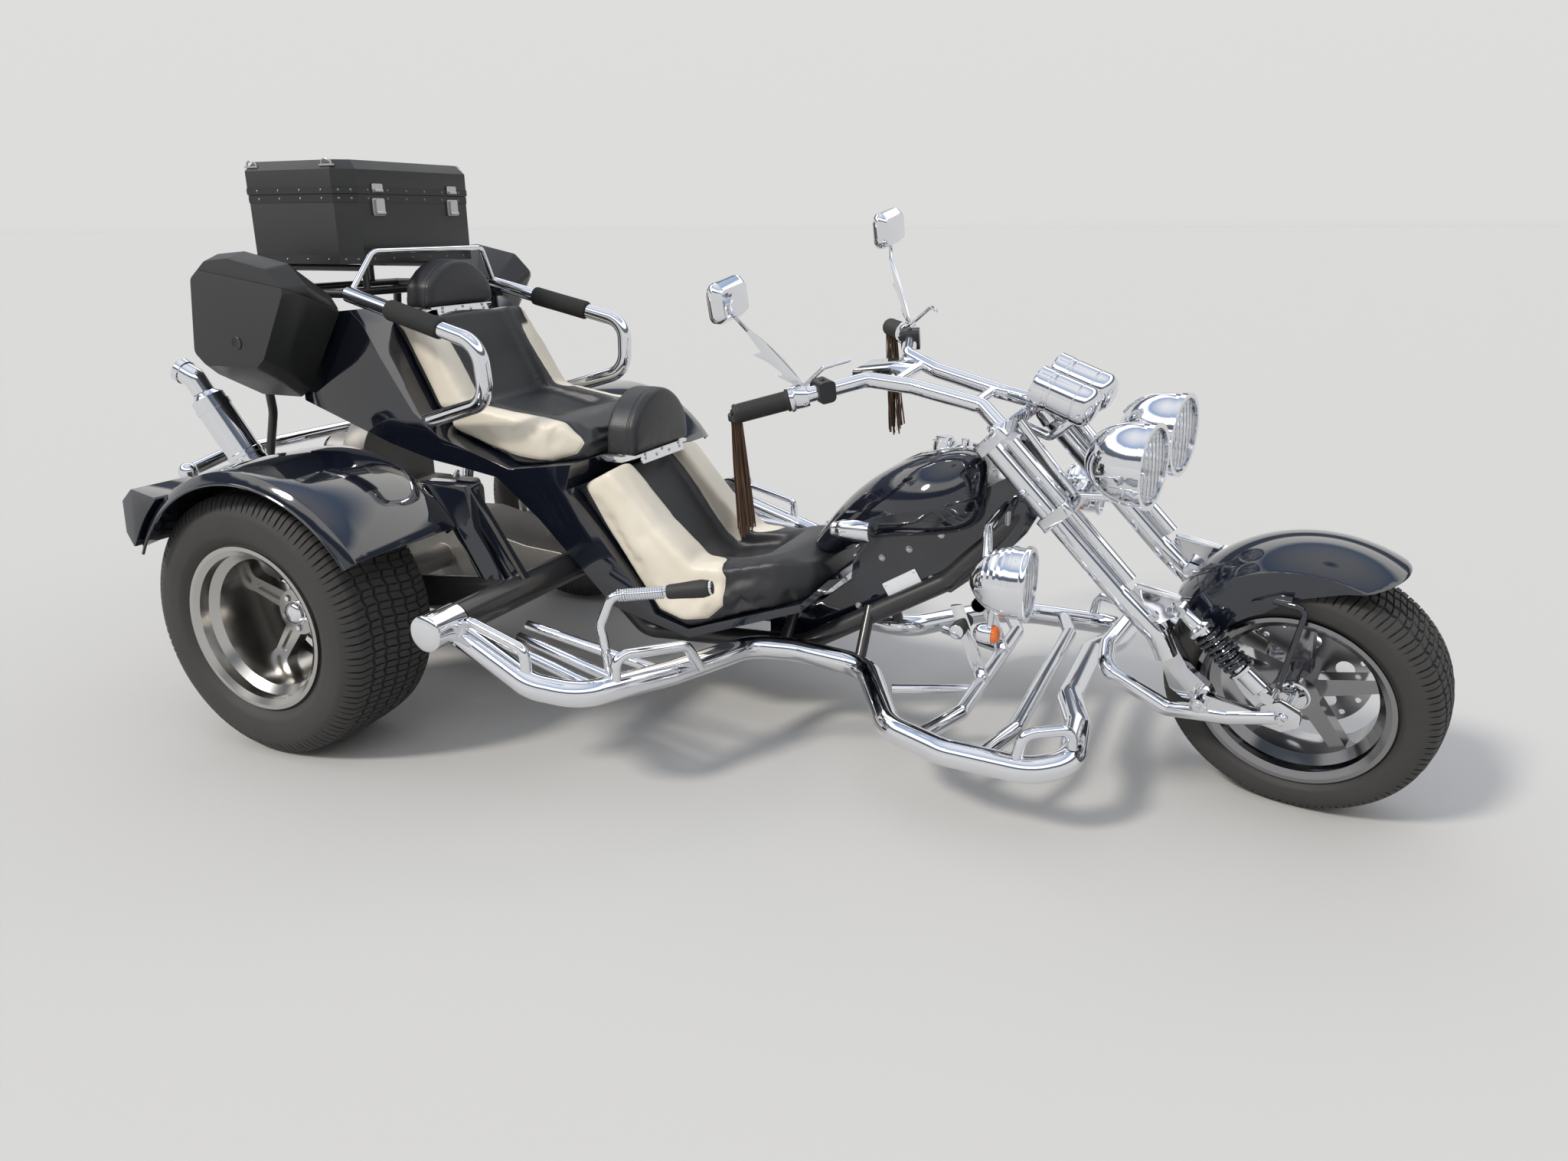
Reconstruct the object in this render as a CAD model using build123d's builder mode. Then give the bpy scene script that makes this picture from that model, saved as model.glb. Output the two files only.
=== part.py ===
from build123d import *
import os
from math import cos, pi, radians, sin, sqrt

# A three-wheeled road trike: one raked and steered front wheel, two wide rear wheels,
# a tandem seat tub, an air-cooled flat four behind the rear axle, luggage cases.
# Millimetres. X points forwards, Y to the vehicle's left, Z up from the ground.
# The origin is on the ground under the middle of the whole vehicle.

# Driving dimensions
WHEELBASE = 2340.0
REAR_AXLE_X = -1011.0
REAR_TRACK = 1340.0
REAR_TYRE_R = 338.0
REAR_TYRE_W = 295.0
FRONT_TYRE_R = 292.0
FRONT_TYRE_W = 190.0
BEAD_R = 190.5
FLANGE_R = 208.0
RAKE = 44.0
TRAIL = 53.0
STEER_ANGLE = -18.0
FIT = 0.3
RUNNING = 0.1
WALL = 6.0

# Tube diameters
FORK_D = 50.0
STRUT_D = 32.0
LINK_D = 38.0
HANDLEBAR_D = 38.0
SIDE_BAR_D = 60.0
CROSSBAR_D = 38.0
GRILLE_D = 25.0
RAIL_D = 42.0
TORSION_TUBE_D = 84.0
FRAME_D = 50.0
RACK_D = 22.0
MUFFLER_D = 92.0


def at(x, y, z):
    """Point with x counted from the rear axle."""
    return Vector(REAR_AXLE_X + x, y, z)


def route(table):
    """Points of a table of x, y, z rows, with x counted from the rear axle."""
    return [at(*row) for row in table]


def tube(points, diameter, bend=0.0):
    """Round bar along straight runs joined by bends of one radius."""
    with BuildPart() as piece:
        with BuildLine() as path:
            if bend:
                FilletPolyline(*points, radius=bend)
            else:
                Polyline(*points)
        wire = path.wires()[0]
        with BuildSketch(Plane(origin=wire @ 0, z_dir=wire % 0)):
            Circle(diameter / 2)
        sweep(path=wire)
    return piece.part


def rod(start, end, diameter):
    """Straight round bar between two points."""
    run = end - start
    with BuildPart() as piece:
        with BuildSketch(Plane(origin=start, z_dir=run)):
            Circle(diameter / 2)
        extrude(amount=run.length)
    return piece.part


def ball(centre, diameter):
    with BuildPart() as piece:
        with Locations(centre):
            Sphere(diameter / 2)
    return piece.part


def slab(outline, y_low, y_high, corner=0.0):
    """Plate or block: an outline of x, z rows carried from one y to another."""
    with BuildPart() as piece:
        with BuildSketch(Plane.XZ.offset(-y_low)) as sketch:
            with BuildLine():
                points = [(REAR_AXLE_X + x, z) for x, z in outline]
                if corner:
                    FilletPolyline(*points, radius=corner, close=True)
                else:
                    Polyline(*points, close=True)
            make_face()
        extrude(amount=-(y_high - y_low))
    return piece.part


def plan(outline, z_low, z_high):
    """Block whose outline of x, y rows is seen from above."""
    with BuildPart() as piece:
        with BuildSketch(Plane.XY.offset(z_low)):
            with BuildLine():
                Polyline(*[(REAR_AXLE_X + x, y) for x, y in outline], close=True)
            make_face()
        extrude(amount=z_high - z_low)
    return piece.part


def both(shape):
    """The shape and its mirror image across the middle plane."""
    return [shape, mirror(shape, about=Plane.XZ, mode=Mode.PRIVATE)]


def spun(outline, place, direction):
    """Turned piece: an outline of run, radius rows spun about a line."""
    side = Vector(0, 1, 0) if abs(direction.Y) < 0.9 else Vector(1, 0, 0)
    frame = Plane(origin=place, x_dir=direction, z_dir=direction.cross(side))
    with BuildPart() as piece:
        with BuildSketch(frame):
            with BuildLine():
                Polyline(*outline, close=True)
            make_face()
        revolve(axis=Axis(place, direction))
    return piece.part


def bowl(place, direction, depth, radius, skin, flat):
    """Open bullet-shaped lamp shell: one arc from the tip to the straight front part."""
    side = Vector(0, 1, 0)
    frame = Plane(origin=place, x_dir=direction, z_dir=direction.cross(side))
    straight = depth - flat
    with BuildPart() as piece:
        with BuildSketch(frame):
            with BuildLine():
                tip = Line((0, 0), (0, 9))
                outer = ThreePointArc(tip @ 1, (straight * 0.30, radius * 0.72), (straight, radius))
                l1 = Line(outer @ 1, (depth, radius))
                l2 = Line(l1 @ 1, (depth, radius - skin))
                l3 = Line(l2 @ 1, (straight, radius - skin))
                hollow = (straight * 0.30 + skin * 0.7, radius * 0.72 - skin * 0.7)
                inner = ThreePointArc(l3 @ 1, hollow, (skin, 6))
                l4 = Line(inner @ 1, (skin, 0))
                Line(l4 @ 1, tip @ 0)
            make_face()
        revolve(axis=Axis(place, direction))
    return piece.part


# The steering turns about a raked line that meets the ground ahead of the front axle.
FOOT = at(WHEELBASE + TRAIL, 0, 0)
STEER_DIRECTION = Vector(-sin(radians(RAKE)), 0, cos(radians(RAKE)))
STEER_AXIS = Axis(FOOT, STEER_DIRECTION)
AHEAD = Vector(cos(radians(RAKE)), 0, sin(radians(RAKE)))


def on_steering(height, ahead=0.0, y=0.0):
    """Point beside the steering line, at a height of that line above the ground."""
    up = STEER_DIRECTION * (height / cos(radians(RAKE)))
    return FOOT + up + AHEAD * ahead + Vector(0, y, 0)


def turned(shape):
    """A steered piece, built straight ahead, in the parked pose."""
    return shape.rotate(STEER_AXIS, STEER_ANGLE)


# Wheels: outlines of y, radius rows, spun about the axle.
def tyre_solid(radius, width, bead_half, tread_half, drop, centre):
    """Tyre with an open inner hollow, standing on its bead seats."""
    middle = (FLANGE_R + radius) / 2
    skin = 13.0
    with BuildPart() as piece:
        with BuildSketch(Plane.YZ):
            with BuildLine():
                l0 = Line((bead_half, BEAD_R), (bead_half, FLANGE_R + 2))
                l1 = ThreePointArc(l0 @ 1, (width / 2, middle), (tread_half, radius - drop))
                l2 = ThreePointArc(l1 @ 1, (0, radius), (-tread_half, radius - drop))
                l3 = ThreePointArc(l2 @ 1, (-width / 2, middle), (-bead_half, FLANGE_R + 2))
                Line(l3 @ 1, (-bead_half, BEAD_R))
                l4 = Line((-bead_half, BEAD_R), (-bead_half + skin, BEAD_R))
                inner = radius - drop - skin
                l5 = Line(l4 @ 1, (-bead_half + skin, FLANGE_R))
                l6 = ThreePointArc(l5 @ 1, (-width / 2 + skin, middle), (-tread_half + skin / 2, inner))
                l7 = Line(l6 @ 1, (tread_half - skin / 2, inner))
                l8 = ThreePointArc(l7 @ 1, (width / 2 - skin, middle), (bead_half - skin, FLANGE_R))
                l9 = Line(l8 @ 1, (bead_half - skin, BEAD_R))
                Line(l9 @ 1, l0 @ 0)
            make_face()
        revolve(axis=Axis.Y)
    return piece.part.moved(Location(centre))


def rim_barrel(bead_half):
    """Rim barrel with two flanges, two bead seats and a drop well."""
    face = bead_half + FIT
    seat = BEAD_R - FIT
    # columns: y, outer radius, inner radius
    rows = [
        (face + 9, FLANGE_R, FLANGE_R - 10),
        (face, FLANGE_R, seat - WALL),
        (face - 0.1, seat, seat - WALL),
        (face - 26, seat, seat - WALL),
        (face - 42, seat - 20, seat - 20 - WALL),
    ]
    outer = [(y, r) for y, r, _ in rows] + [(-y, r) for y, r, _ in reversed(rows)]
    inner = [(-y, r) for y, _, r in rows] + [(y, r) for y, _, r in reversed(rows)]
    with BuildPart() as piece:
        with BuildSketch(Plane.YZ):
            with BuildLine():
                Polyline(*outer, *inner, close=True)
            make_face()
        revolve(axis=Axis.Y)
    return piece.part


def rim_solid(bead_half, spoke_y, spoke_root, spoke_tip, spoke_t, hub_r, hub_low, hub_high, centre):
    """Cast rim: barrel, hub and five tapered spokes with a groove; outward is +Y."""
    reach = BEAD_R - 20 - WALL + 2
    barrel = rim_barrel(bead_half)
    face = spoke_y + spoke_t / 2
    near, far = (hub_r * 0.5, spoke_root / 2), (reach, spoke_tip / 2)
    spoke = [(near[0], -near[1]), (far[0], -far[1]), far, near]
    with BuildPart() as piece:
        add(barrel)
        with BuildSketch(Plane.XZ.offset(-hub_low)):
            Circle(hub_r)
        extrude(amount=-(hub_high - hub_low), taper=4)
        with BuildSketch(Plane.XZ.offset(-(spoke_y - spoke_t / 2))):
            with PolarLocations(0, SPOKES, start_angle=90):
                Polygon(*spoke, align=None)
        extrude(amount=-spoke_t)
        with BuildSketch(Plane.XZ.offset(-face)):
            with PolarLocations(0, SPOKES, start_angle=90):
                with Locations(((hub_r + reach) / 2, 0)):
                    SlotOverall(reach - hub_r - 24, spoke_tip * 0.42)
        extrude(amount=GROOVE, mode=Mode.SUBTRACT)
        with BuildSketch(Plane.XZ.offset(-hub_high)):
            with PolarLocations(hub_r * 0.66, SPOKES, start_angle=126):
                Circle(hub_r * 0.14)
        extrude(amount=12, mode=Mode.SUBTRACT)
    return piece.part.moved(Location(centre))


SPOKES = 5
GROOVE = 7.0
REAR_BEAD_HALF = 127.0
REAR_TREAD_HALF = 118.0
FRONT_BEAD_HALF = 76.0
FRONT_TREAD_HALF = 72.0
REAR_DROP = 9.0
FRONT_DROP = 9.0

# The parked front wheel leans, so its axle height when straight ahead is worked out
# from the lowest point of the leaning tread.
lean = -sin(radians(RAKE)) * sin(radians(STEER_ANGLE))
upright = sqrt(1 - lean * lean)
tread = [(0, FRONT_TYRE_R), (-FRONT_TREAD_HALF, FRONT_TYRE_R - FRONT_DROP)]
lowest = min(y * abs(lean) - r * upright for y, r in tread)
turn_gain = 1 - cos(radians(STEER_ANGLE))
rise_share = cos(radians(STEER_ANGLE)) + cos(radians(RAKE)) ** 2 * turn_gain
trail_share = sin(radians(RAKE)) * cos(radians(RAKE)) * turn_gain * TRAIL
FRONT_AXLE_Z = (-lowest - trail_share) / rise_share
FRONT_AXLE = at(WHEELBASE, 0, FRONT_AXLE_Z)
print("front axle height when straight", round(FRONT_AXLE_Z, 2))

REAR_AXLE_L = at(0, REAR_TRACK / 2, REAR_TYRE_R)

rear_tyre = tyre_solid(
    REAR_TYRE_R, REAR_TYRE_W, REAR_BEAD_HALF, REAR_TREAD_HALF, REAR_DROP, REAR_AXLE_L
)
front_tyre_straight = tyre_solid(
    FRONT_TYRE_R, FRONT_TYRE_W, FRONT_BEAD_HALF, FRONT_TREAD_HALF, FRONT_DROP, FRONT_AXLE
)
STUB_D = 40.0
HUB_IN = REAR_TRACK / 2 - 70
STUB_END = HUB_IN + 50
stub_bore = rod(at(0, HUB_IN - 10, REAR_TYRE_R), at(0, STUB_END + 2, REAR_TYRE_R), STUB_D + 2 * RUNNING)
rear_rim = rim_solid(REAR_BEAD_HALF, -38, 52, 40, 34, 64, -70, -4, REAR_AXLE_L) - stub_bore
front_rim_straight = rim_solid(FRONT_BEAD_HALF, -8, 44, 32, 34, 52, -56, 56, FRONT_AXLE)

AXLE_D = 20.0

with BuildPart() as rear_tyre_left:
    add(rear_tyre)

with BuildPart() as rear_tyre_right:
    add(mirror(rear_tyre, about=Plane.XZ, mode=Mode.PRIVATE))

with BuildPart() as rear_rim_left:
    add(rear_rim)

with BuildPart() as rear_rim_right:
    add(mirror(rear_rim, about=Plane.XZ, mode=Mode.PRIVATE))

with BuildPart() as front_tyre:
    add(turned(front_tyre_straight))

axle_hole = rod(FRONT_AXLE - Vector(0, 80, 0), FRONT_AXLE + Vector(0, 80, 0), AXLE_D + 2 * RUNNING)
front_rim_bored = front_rim_straight - axle_hole
with BuildPart() as front_rim:
    add(turned(front_rim_bored))

# Brake disc on the left of the front wheel, bolted to the hub's end
DISC_R = 135.0
disc = rod(FRONT_AXLE + Vector(0, 56, 0), FRONT_AXLE + Vector(0, 61, 0), 2 * DISC_R)
disc_hole = rod(FRONT_AXLE + Vector(0, 50, 0), FRONT_AXLE + Vector(0, 70, 0), 44)
slots = []
for step in range(SPOKES):
    angle = radians(72 * step + 18)
    way = Vector(cos(angle), 0, sin(angle))
    place = FRONT_AXLE + way * 78
    slots.append(rod(place + Vector(0, 50, 0), place + Vector(0, 70, 0), 40))
for step in range(15):
    angle = radians(24 * step)
    place = FRONT_AXLE + Vector(cos(angle), 0, sin(angle)) * 119
    slots.append(rod(place + Vector(0, 50, 0), place + Vector(0, 70, 0), 13))
slotted = disc - disc_hole
for hole in slots:
    slotted = slotted - hole
with BuildPart() as front_disc:
    add(turned(slotted))

# Fixed frame: torsion tube, two lower rails, head tube, cradle round the engine
TORSION = (540.0, 405.0)
CAP_Y = 700.0
HEAD_LOW = 652.0
HEAD_HIGH = 775.0
HEAD_D = 66.0
STEM_D = 30.0

lower_rail = tube(
    route([(540, 130, 372), (700, 122, 212), (1150, 95, 222), (1520, 60, 430), (1728, 24, 655)]),
    FRAME_D,
    60,
)
cradle = tube(
    route([(545, 215, 400), (230, 215, 225), (-470, 215, 235), (-560, 215, 330), (-578, 215, 642)]),
    38,
    50,
)
head_tube = rod(on_steering(HEAD_LOW), on_steering(HEAD_HIGH), HEAD_D)
head_bore = rod(on_steering(HEAD_LOW - 20), on_steering(HEAD_HIGH + 20), STEM_D + 2 * RUNNING)
torsion_tube = rod(at(TORSION[0], -CAP_Y, TORSION[1]), at(TORSION[0], CAP_Y, TORSION[1]), 76)
rack_post = tube(route([(-545, 215, 560), (-440, 260, 760), (-430, 290, 1105)]), 25, 60)
with BuildPart() as frame_tubes:
    add(torsion_tube)
    add(both(lower_rail))
    add(both(cradle))
    add(both(rack_post))
    add(head_tube)
    for x, z in [(-470, 235), (230, 225), (900, 216)]:
        add(rod(at(x, -215 if x < 500 else -110, z), at(x, 215 if x < 500 else 110, z), 30))
    add(head_bore, mode=Mode.SUBTRACT)

# Pressed backbone between the head tube and the seat
backbone_outline = [
    (1040, 214),
    (1163, 205),
    (1313, 309),
    (1469, 406),
    (1530, 400),
    (1640, 492),
    (1707, 570),
    (1738, 630),
    (1665, 706),
    (1500, 612),
    (1330, 552),
    (1276, 482),
    (1268, 404),
    (1195, 342),
    (1040, 290),
]
with BuildPart() as backbone:
    add(slab(backbone_outline, -56, 56))
    add(frame_tubes.part, mode=Mode.SUBTRACT)
    add(head_bore, mode=Mode.SUBTRACT)

# Rear axle: gearbox, axle tubes, spring plates and hub carriers
with BuildPart() as transaxle:
    add(slab([(-150, 250), (-150, 440), (60, 450), (300, 400), (440, 390), (440, 300), (60, 240)], -110, 110, 30))
    for side in (-1, 1):
        add(rod(at(0, side * 90, REAR_TYRE_R), at(0, side * (HUB_IN - 40), REAR_TYRE_R), 70))
        add(rod(at(0, side * (HUB_IN - 45), REAR_TYRE_R), at(0, side * (HUB_IN - 5), REAR_TYRE_R), 230))
        add(rod(at(0, side * (HUB_IN - 20), REAR_TYRE_R), at(0, side * STUB_END, REAR_TYRE_R), STUB_D))
    add(frame_tubes.part, mode=Mode.SUBTRACT)

with BuildPart() as suspension:
    arm = [(520, 372), (545, 440), (0, 390), (-60, 338), (0, 290)]
    arm_solid = slab(arm, 470, 482)
    damper = rod(at(-30, 455, 300), at(120, 440, 610), 46)
    add(both(arm_solid))
    add(both(damper))
    add(transaxle.part, mode=Mode.SUBTRACT)
    add(frame_tubes.part, mode=Mode.SUBTRACT)

# Engine: flat four behind the axle with fan housing, finned barrels and carburettor
ENGINE_X = -340.0
ENGINE_Z = 395.0
with BuildPart() as engine:
    add(slab([(-480, 290), (-480, 470), (-420, 520), (-200, 520), (-148, 430), (-148, 300), (-260, 262)], -120, 120, 20))
    for side in (-1, 1):
        for fin in range(8):
            y = side * (128 + 18 * fin)
            for x in (ENGINE_X - 65, ENGINE_X + 75):
                add(rod(at(x, y, ENGINE_Z), at(x, y + side * 8, ENGINE_Z), 122))
        for x in (ENGINE_X - 65, ENGINE_X + 75):
            add(rod(at(x, side * 110, ENGINE_Z), at(x, side * 268, ENGINE_Z), 96))
        head = [(-470, 330), (-470, 465), (-200, 465), (-200, 330)]
        low, high = sorted((side * 262, side * 330))
        add(slab(head, low, high, 15))
    # fan housing
    add(rod(at(-250, 0, 600), at(-330, 0, 600), 260))
    add(slab([(-330, 480), (-330, 640), (-250, 640), (-250, 480)], -170, 170))
    # alternator and carburettor
    add(rod(at(-330, 0, 600), at(-470, 0, 600), 110))
    add(rod(at(-420, 0, 510), at(-420, 0, 560), 90))
    add(transaxle.part, mode=Mode.SUBTRACT)
    add(frame_tubes.part, mode=Mode.SUBTRACT)

# Mufflers: upright cans beside the engine with elbow tips
muffler_foot, muffler_head = at(-335, 425, 605), at(-452, 468, 842)
muffler_way = (muffler_head - muffler_foot).normalized()
muffler_run = (muffler_head - muffler_foot).length
MUFFLER_R = MUFFLER_D / 2
muffler_can = spun(
    [
        (0, 0),
        (0, MUFFLER_R - 16),
        (14, MUFFLER_R),
        (70, MUFFLER_R),
        (72, MUFFLER_R + 2),
        (84, MUFFLER_R + 2),
        (86, MUFFLER_R),
        (muffler_run - 16, MUFFLER_R),
        (muffler_run, MUFFLER_R - 18),
        (muffler_run, 0),
    ],
    muffler_foot,
    muffler_way,
)
muffler_tip = tube(route([(-452, 468, 842), (-470, 474, 880), (-512, 478, 900)]), 60, 24)
muffler_pipe = tube(route([(-335, 331, 400), (-322, 395, 392), (-320, 418, 480), (-335, 425, 610)]), 42, 30)
with BuildPart() as mufflers:
    for piece in both(muffler_can) + both(muffler_tip) + both(muffler_pipe):
        add(piece)
    add(engine.part, mode=Mode.SUBTRACT)

# Rear bumper: cross tube with ball ends
bumper_tube = tube(route([(-575, -455, 613), (-585, -300, 640), (-585, 300, 640), (-575, 455, 613)]), 38, 60)
with BuildPart() as rear_bumper:
    add(bumper_tube)
    for y in (-462, 462):
        add(ball(at(-574, y, 612), 54))
    add(frame_tubes.part, mode=Mode.SUBTRACT)

# Seat tub: side outline by plan outline, open below and behind
SEAT_CLEAR = 0.3
tub_upper = [
    (1238, 420),
    (1190, 371),
    (890, 274),
    (800, 304),
    (700, 438),
    (565, 620),
    (585, 688),
    (400, 664),
    (200, 736),
    (130, 800),
    (0, 1025),
    (-40, 1060),
    (-200, 1045),
    (-245, 980),
]
tub_flange = [
    (-245, 812),
    (-30, 742),
    (170, 676),
    (360, 640),
    (480, 535),
    (600, 408),
    (680, 317),
    (770, 286),
    (890, 250),
    (1190, 350),
    (1262, 418),
]
# columns: x, half width of the tub seen from above
tub_plan = [(-245, 320), (50, 330), (250, 300), (480, 280), (600, 272), (770, 250), (1190, 205), (1262, 100)]
tub_inner = [
    (-300, 790),
    (-30, 720),
    (170, 650),
    (350, 615),
    (470, 515),
    (590, 390),
    (660, 310),
    (692, 430),
    (556, 616),
    (575, 676),
    (400, 654),
    (192, 727),
    (123, 794),
    (-6, 1016),
    (-42, 1050),
    (-196, 1036),
    (-237, 975),
    (-237, 812),
]
TUB_WALL = 8.0
plan_outer = [(x, y) for x, y in tub_plan] + [(x, -y) for x, y in reversed(tub_plan)]
plan_inner = [(x, y - TUB_WALL) for x, y in tub_plan] + [(x, TUB_WALL - y) for x, y in reversed(tub_plan)]
tub_outside = slab(tub_flange + tub_upper, -340, 340) & plan(plan_outer, 200, 1100)
tub_inside = slab(tub_inner, -340, 340) & plan(plan_inner, 200, 1100)
with BuildPart() as body_tub:
    add(tub_outside)
    add(tub_inside, mode=Mode.SUBTRACT)
    add(frame_tubes.part, mode=Mode.SUBTRACT)
    add(backbone.part, mode=Mode.SUBTRACT)

# Driver seat: block between the bolsters with a channel for the rider
driver_side = [
    (566, 621),
    (676, 670),
    (800, 530),
    (905, 440),
    (1000, 446),
    (1135, 478),
    (1212, 470),
    (1237, 421),
    (1190, 372),
    (890, 275),
    (800, 305),
    (701, 439),
]
driver_channel = [
    (600, 760),
    (645, 640),
    (812, 420),
    (860, 385),
    (1000, 408),
    (1150, 520),
    (1100, 760),
]
driver_plan = [(540, 235), (900, 240), (1120, 200), (1200, 150), (1240, 80)]
driver_outline = [(x, y) for x, y in driver_plan] + [(x, -y) for x, y in reversed(driver_plan)]
driver_block = slab(driver_side, -245, 245) & plan(driver_outline, 240, 720)
with BuildPart() as driver_seat:
    add(driver_block)
    add(slab(driver_channel, -125, 125, 20), mode=Mode.SUBTRACT)
    add(body_tub.part, mode=Mode.SUBTRACT)
    add(frame_tubes.part, mode=Mode.SUBTRACT)
    add(backbone.part, mode=Mode.SUBTRACT)

passenger_side = [
    (0.6, 1025),
    (3, 1035),
    (98, 1040),
    (138, 975),
    (235, 815),
    (360, 795),
    (520, 775),
    (597, 735),
    (585.6, 688.4),
    (400, 664.3),
    (200.2, 736.3),
    (130.4, 800.2),
]
passenger_channel = [(100, 1100), (90, 1030), (205, 800), (380, 762), (530, 790), (560, 1100)]
passenger_plan = [(-5, 225), (200, 245), (480, 245), (600, 190)]
passenger_outline = [(x, y) for x, y in passenger_plan] + [(x, -y) for x, y in reversed(passenger_plan)]
passenger_block = slab(passenger_side, -250, 250) & plan(passenger_outline, 600, 1060)
with BuildPart() as passenger_seat:
    add(passenger_block)
    add(slab(passenger_channel, -150, 150, 15), mode=Mode.SUBTRACT)
    add(body_tub.part, mode=Mode.SUBTRACT)

# Head pads: half-moon cushions over thin bright plates
# columns: x, z of the pad's foot, half width, height, thickness, x of the plate's rear edge
pad_rows = [(-18, 1056, 142, 124, 85, -36), (612, 694, 150, 160, 88, 574)]
pad_list = []
plate_list = []
for x, z, half, height, thick, plate_rear in pad_rows:
    with BuildPart() as pad:
        with BuildSketch(Plane.YZ.offset(REAR_AXLE_X + x)):
            with BuildLine():
                l1 = Line((-half, z), (half, z))
                l2 = Line(l1 @ 1, (half - 8, z + height * 0.45))
                l3 = ThreePointArc(l2 @ 1, (0, z + height), (8 - half, z + height * 0.45))
                Line(l3 @ 1, l1 @ 0)
            make_face()
        extrude(amount=thick)
        fillet(pad.edges().group_by(Axis.X)[-1], 18)
    pad_list.append(pad.part)
    plate_front = x + thick - 5
    plate = [
        (plate_rear, z - 22),
        (plate_rear, z - FIT),
        (plate_front, z - FIT),
        (plate_front, z - 8),
        (x + 40, z - 22),
    ]
    plate_list.append(slab(plate, 12 - half, half - 12))
with BuildPart() as head_pads:
    for piece in pad_list:
        add(piece)
    add(passenger_seat.part, mode=Mode.SUBTRACT)
    add(body_tub.part, mode=Mode.SUBTRACT)

with BuildPart() as pad_plates:
    for piece in plate_list:
        add(piece)
    add(passenger_seat.part, mode=Mode.SUBTRACT)
    add(driver_seat.part, mode=Mode.SUBTRACT)
    add(body_tub.part, mode=Mode.SUBTRACT)
    add(head_pads.part, mode=Mode.SUBTRACT)

# Grab rails and the hoop before the top case
FOAM_D = 54.0
rail = tube(route([(-62, 300, 1098), (382, 342, 990), (384, 330, 845), (140, 285, 772)]), RAIL_D, 68)
foam_low, foam_high = at(84, 313.5, 1063), at(262, 330, 1020)
foam = rod(foam_low, foam_high, FOAM_D)
hoop = tube(route([(-55, -300, 1100), (-35, -225, 1205), (-35, 225, 1205), (-55, 300, 1100)]), 16, 30)
with BuildPart() as grab_rails:
    for piece in both(rail):
        add(piece)
    add(hoop)
    add(body_tub.part, mode=Mode.SUBTRACT)
    add(frame_tubes.part, mode=Mode.SUBTRACT)

with BuildPart() as rail_foams:
    for piece in both(foam):
        add(piece)
    add(grab_rails.part, mode=Mode.SUBTRACT)

# Luggage rack under the top case, with arms to the side cases
rack_side = tube(route([(-62, 292, 1098), (-440, 292, 1098)]), RACK_D)
rack_hanger = tube(route([(-330, 292, 1098), (-330, 292, 1000), (-330, 349, 1000)]), 18, 20)
tub_boss = rod(at(-165, 300, 985), at(-165, 349, 985), 40)
with BuildPart() as luggage_rack:
    for piece in both(rack_side):
        add(piece)
    for x in (-110, -430):
        add(rod(at(x, -292, 1098), at(x, 292, 1098), RACK_D))
        for y in (-180, 180):
            add(rod(at(x, y, 1098), at(x, y, 1172 - FIT), 18))
    for y in (-180, 180):
        add(rod(at(-110, y, 1160), at(-430, y, 1160), 18))
    for piece in both(rack_hanger) + both(tub_boss):
        add(piece)
    add(grab_rails.part, mode=Mode.SUBTRACT)
    add(frame_tubes.part, mode=Mode.SUBTRACT)
    add(body_tub.part, mode=Mode.SUBTRACT)

# Top case: chamfered sheet box with a hinged lid
CASE_LOW = 1172.0
CASE_SPLIT = 1350.0
CASE_HIGH = 1436.0
CASE_FRONT = -70.0
CASE_REAR = -456.0
CASE_HALF = 262.0
CASE_CORNER = 44.0
CASE_WALL = 3.0


def case_outline(inset):
    """Plan outline of the top case, moved in by an inset."""
    front, rear, half = CASE_FRONT - inset, CASE_REAR + inset, CASE_HALF - inset
    cut = CASE_CORNER - inset * 0.41
    return [
        (front, half - cut),
        (front - cut, half),
        (rear + cut, half),
        (rear, half - cut),
        (rear, cut - half),
        (rear + cut, -half),
        (front - cut, -half),
        (front, cut - half),
    ]


# Hinge behind the lid: a pin held by two case knuckles runs through two lid knuckles
HINGE_X = CASE_REAR - 8
HINGE_Z = CASE_SPLIT + 0.5
PIN_D = 6.0
KNUCKLE_D = 12.0
HINGE_Y = 150.0


def knuckles(y_low, y_high, z_far):
    """Barrel on the hinge line with its leaf, one at each side."""
    barrel = rod(at(HINGE_X, y_low, HINGE_Z), at(HINGE_X, y_high, HINGE_Z), KNUCKLE_D)
    z_low, z_high = sorted((HINGE_Z, z_far))
    leaf = slab([(HINGE_X - 2, z_low), (HINGE_X - 2, z_high), (CASE_REAR + 1, z_high), (CASE_REAR + 1, z_low)], y_low, y_high)
    return both(barrel) + both(leaf)


hinge_pin = rod(at(HINGE_X, HINGE_Y - 30, HINGE_Z), at(HINGE_X, HINGE_Y + 30, HINGE_Z), PIN_D)
hinge_bore = rod(at(HINGE_X, HINGE_Y - 31, HINGE_Z), at(HINGE_X, HINGE_Y + 31, HINGE_Z), PIN_D + 2 * RUNNING)
with BuildPart() as top_case:
    add(plan(case_outline(0), CASE_LOW, CASE_SPLIT))
    for piece in knuckles(HINGE_Y - 30, HINGE_Y, CASE_SPLIT - 30) + both(hinge_pin):
        add(piece)
    add(plan(case_outline(CASE_WALL), CASE_LOW + CASE_WALL, CASE_SPLIT + 1), mode=Mode.SUBTRACT)

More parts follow.
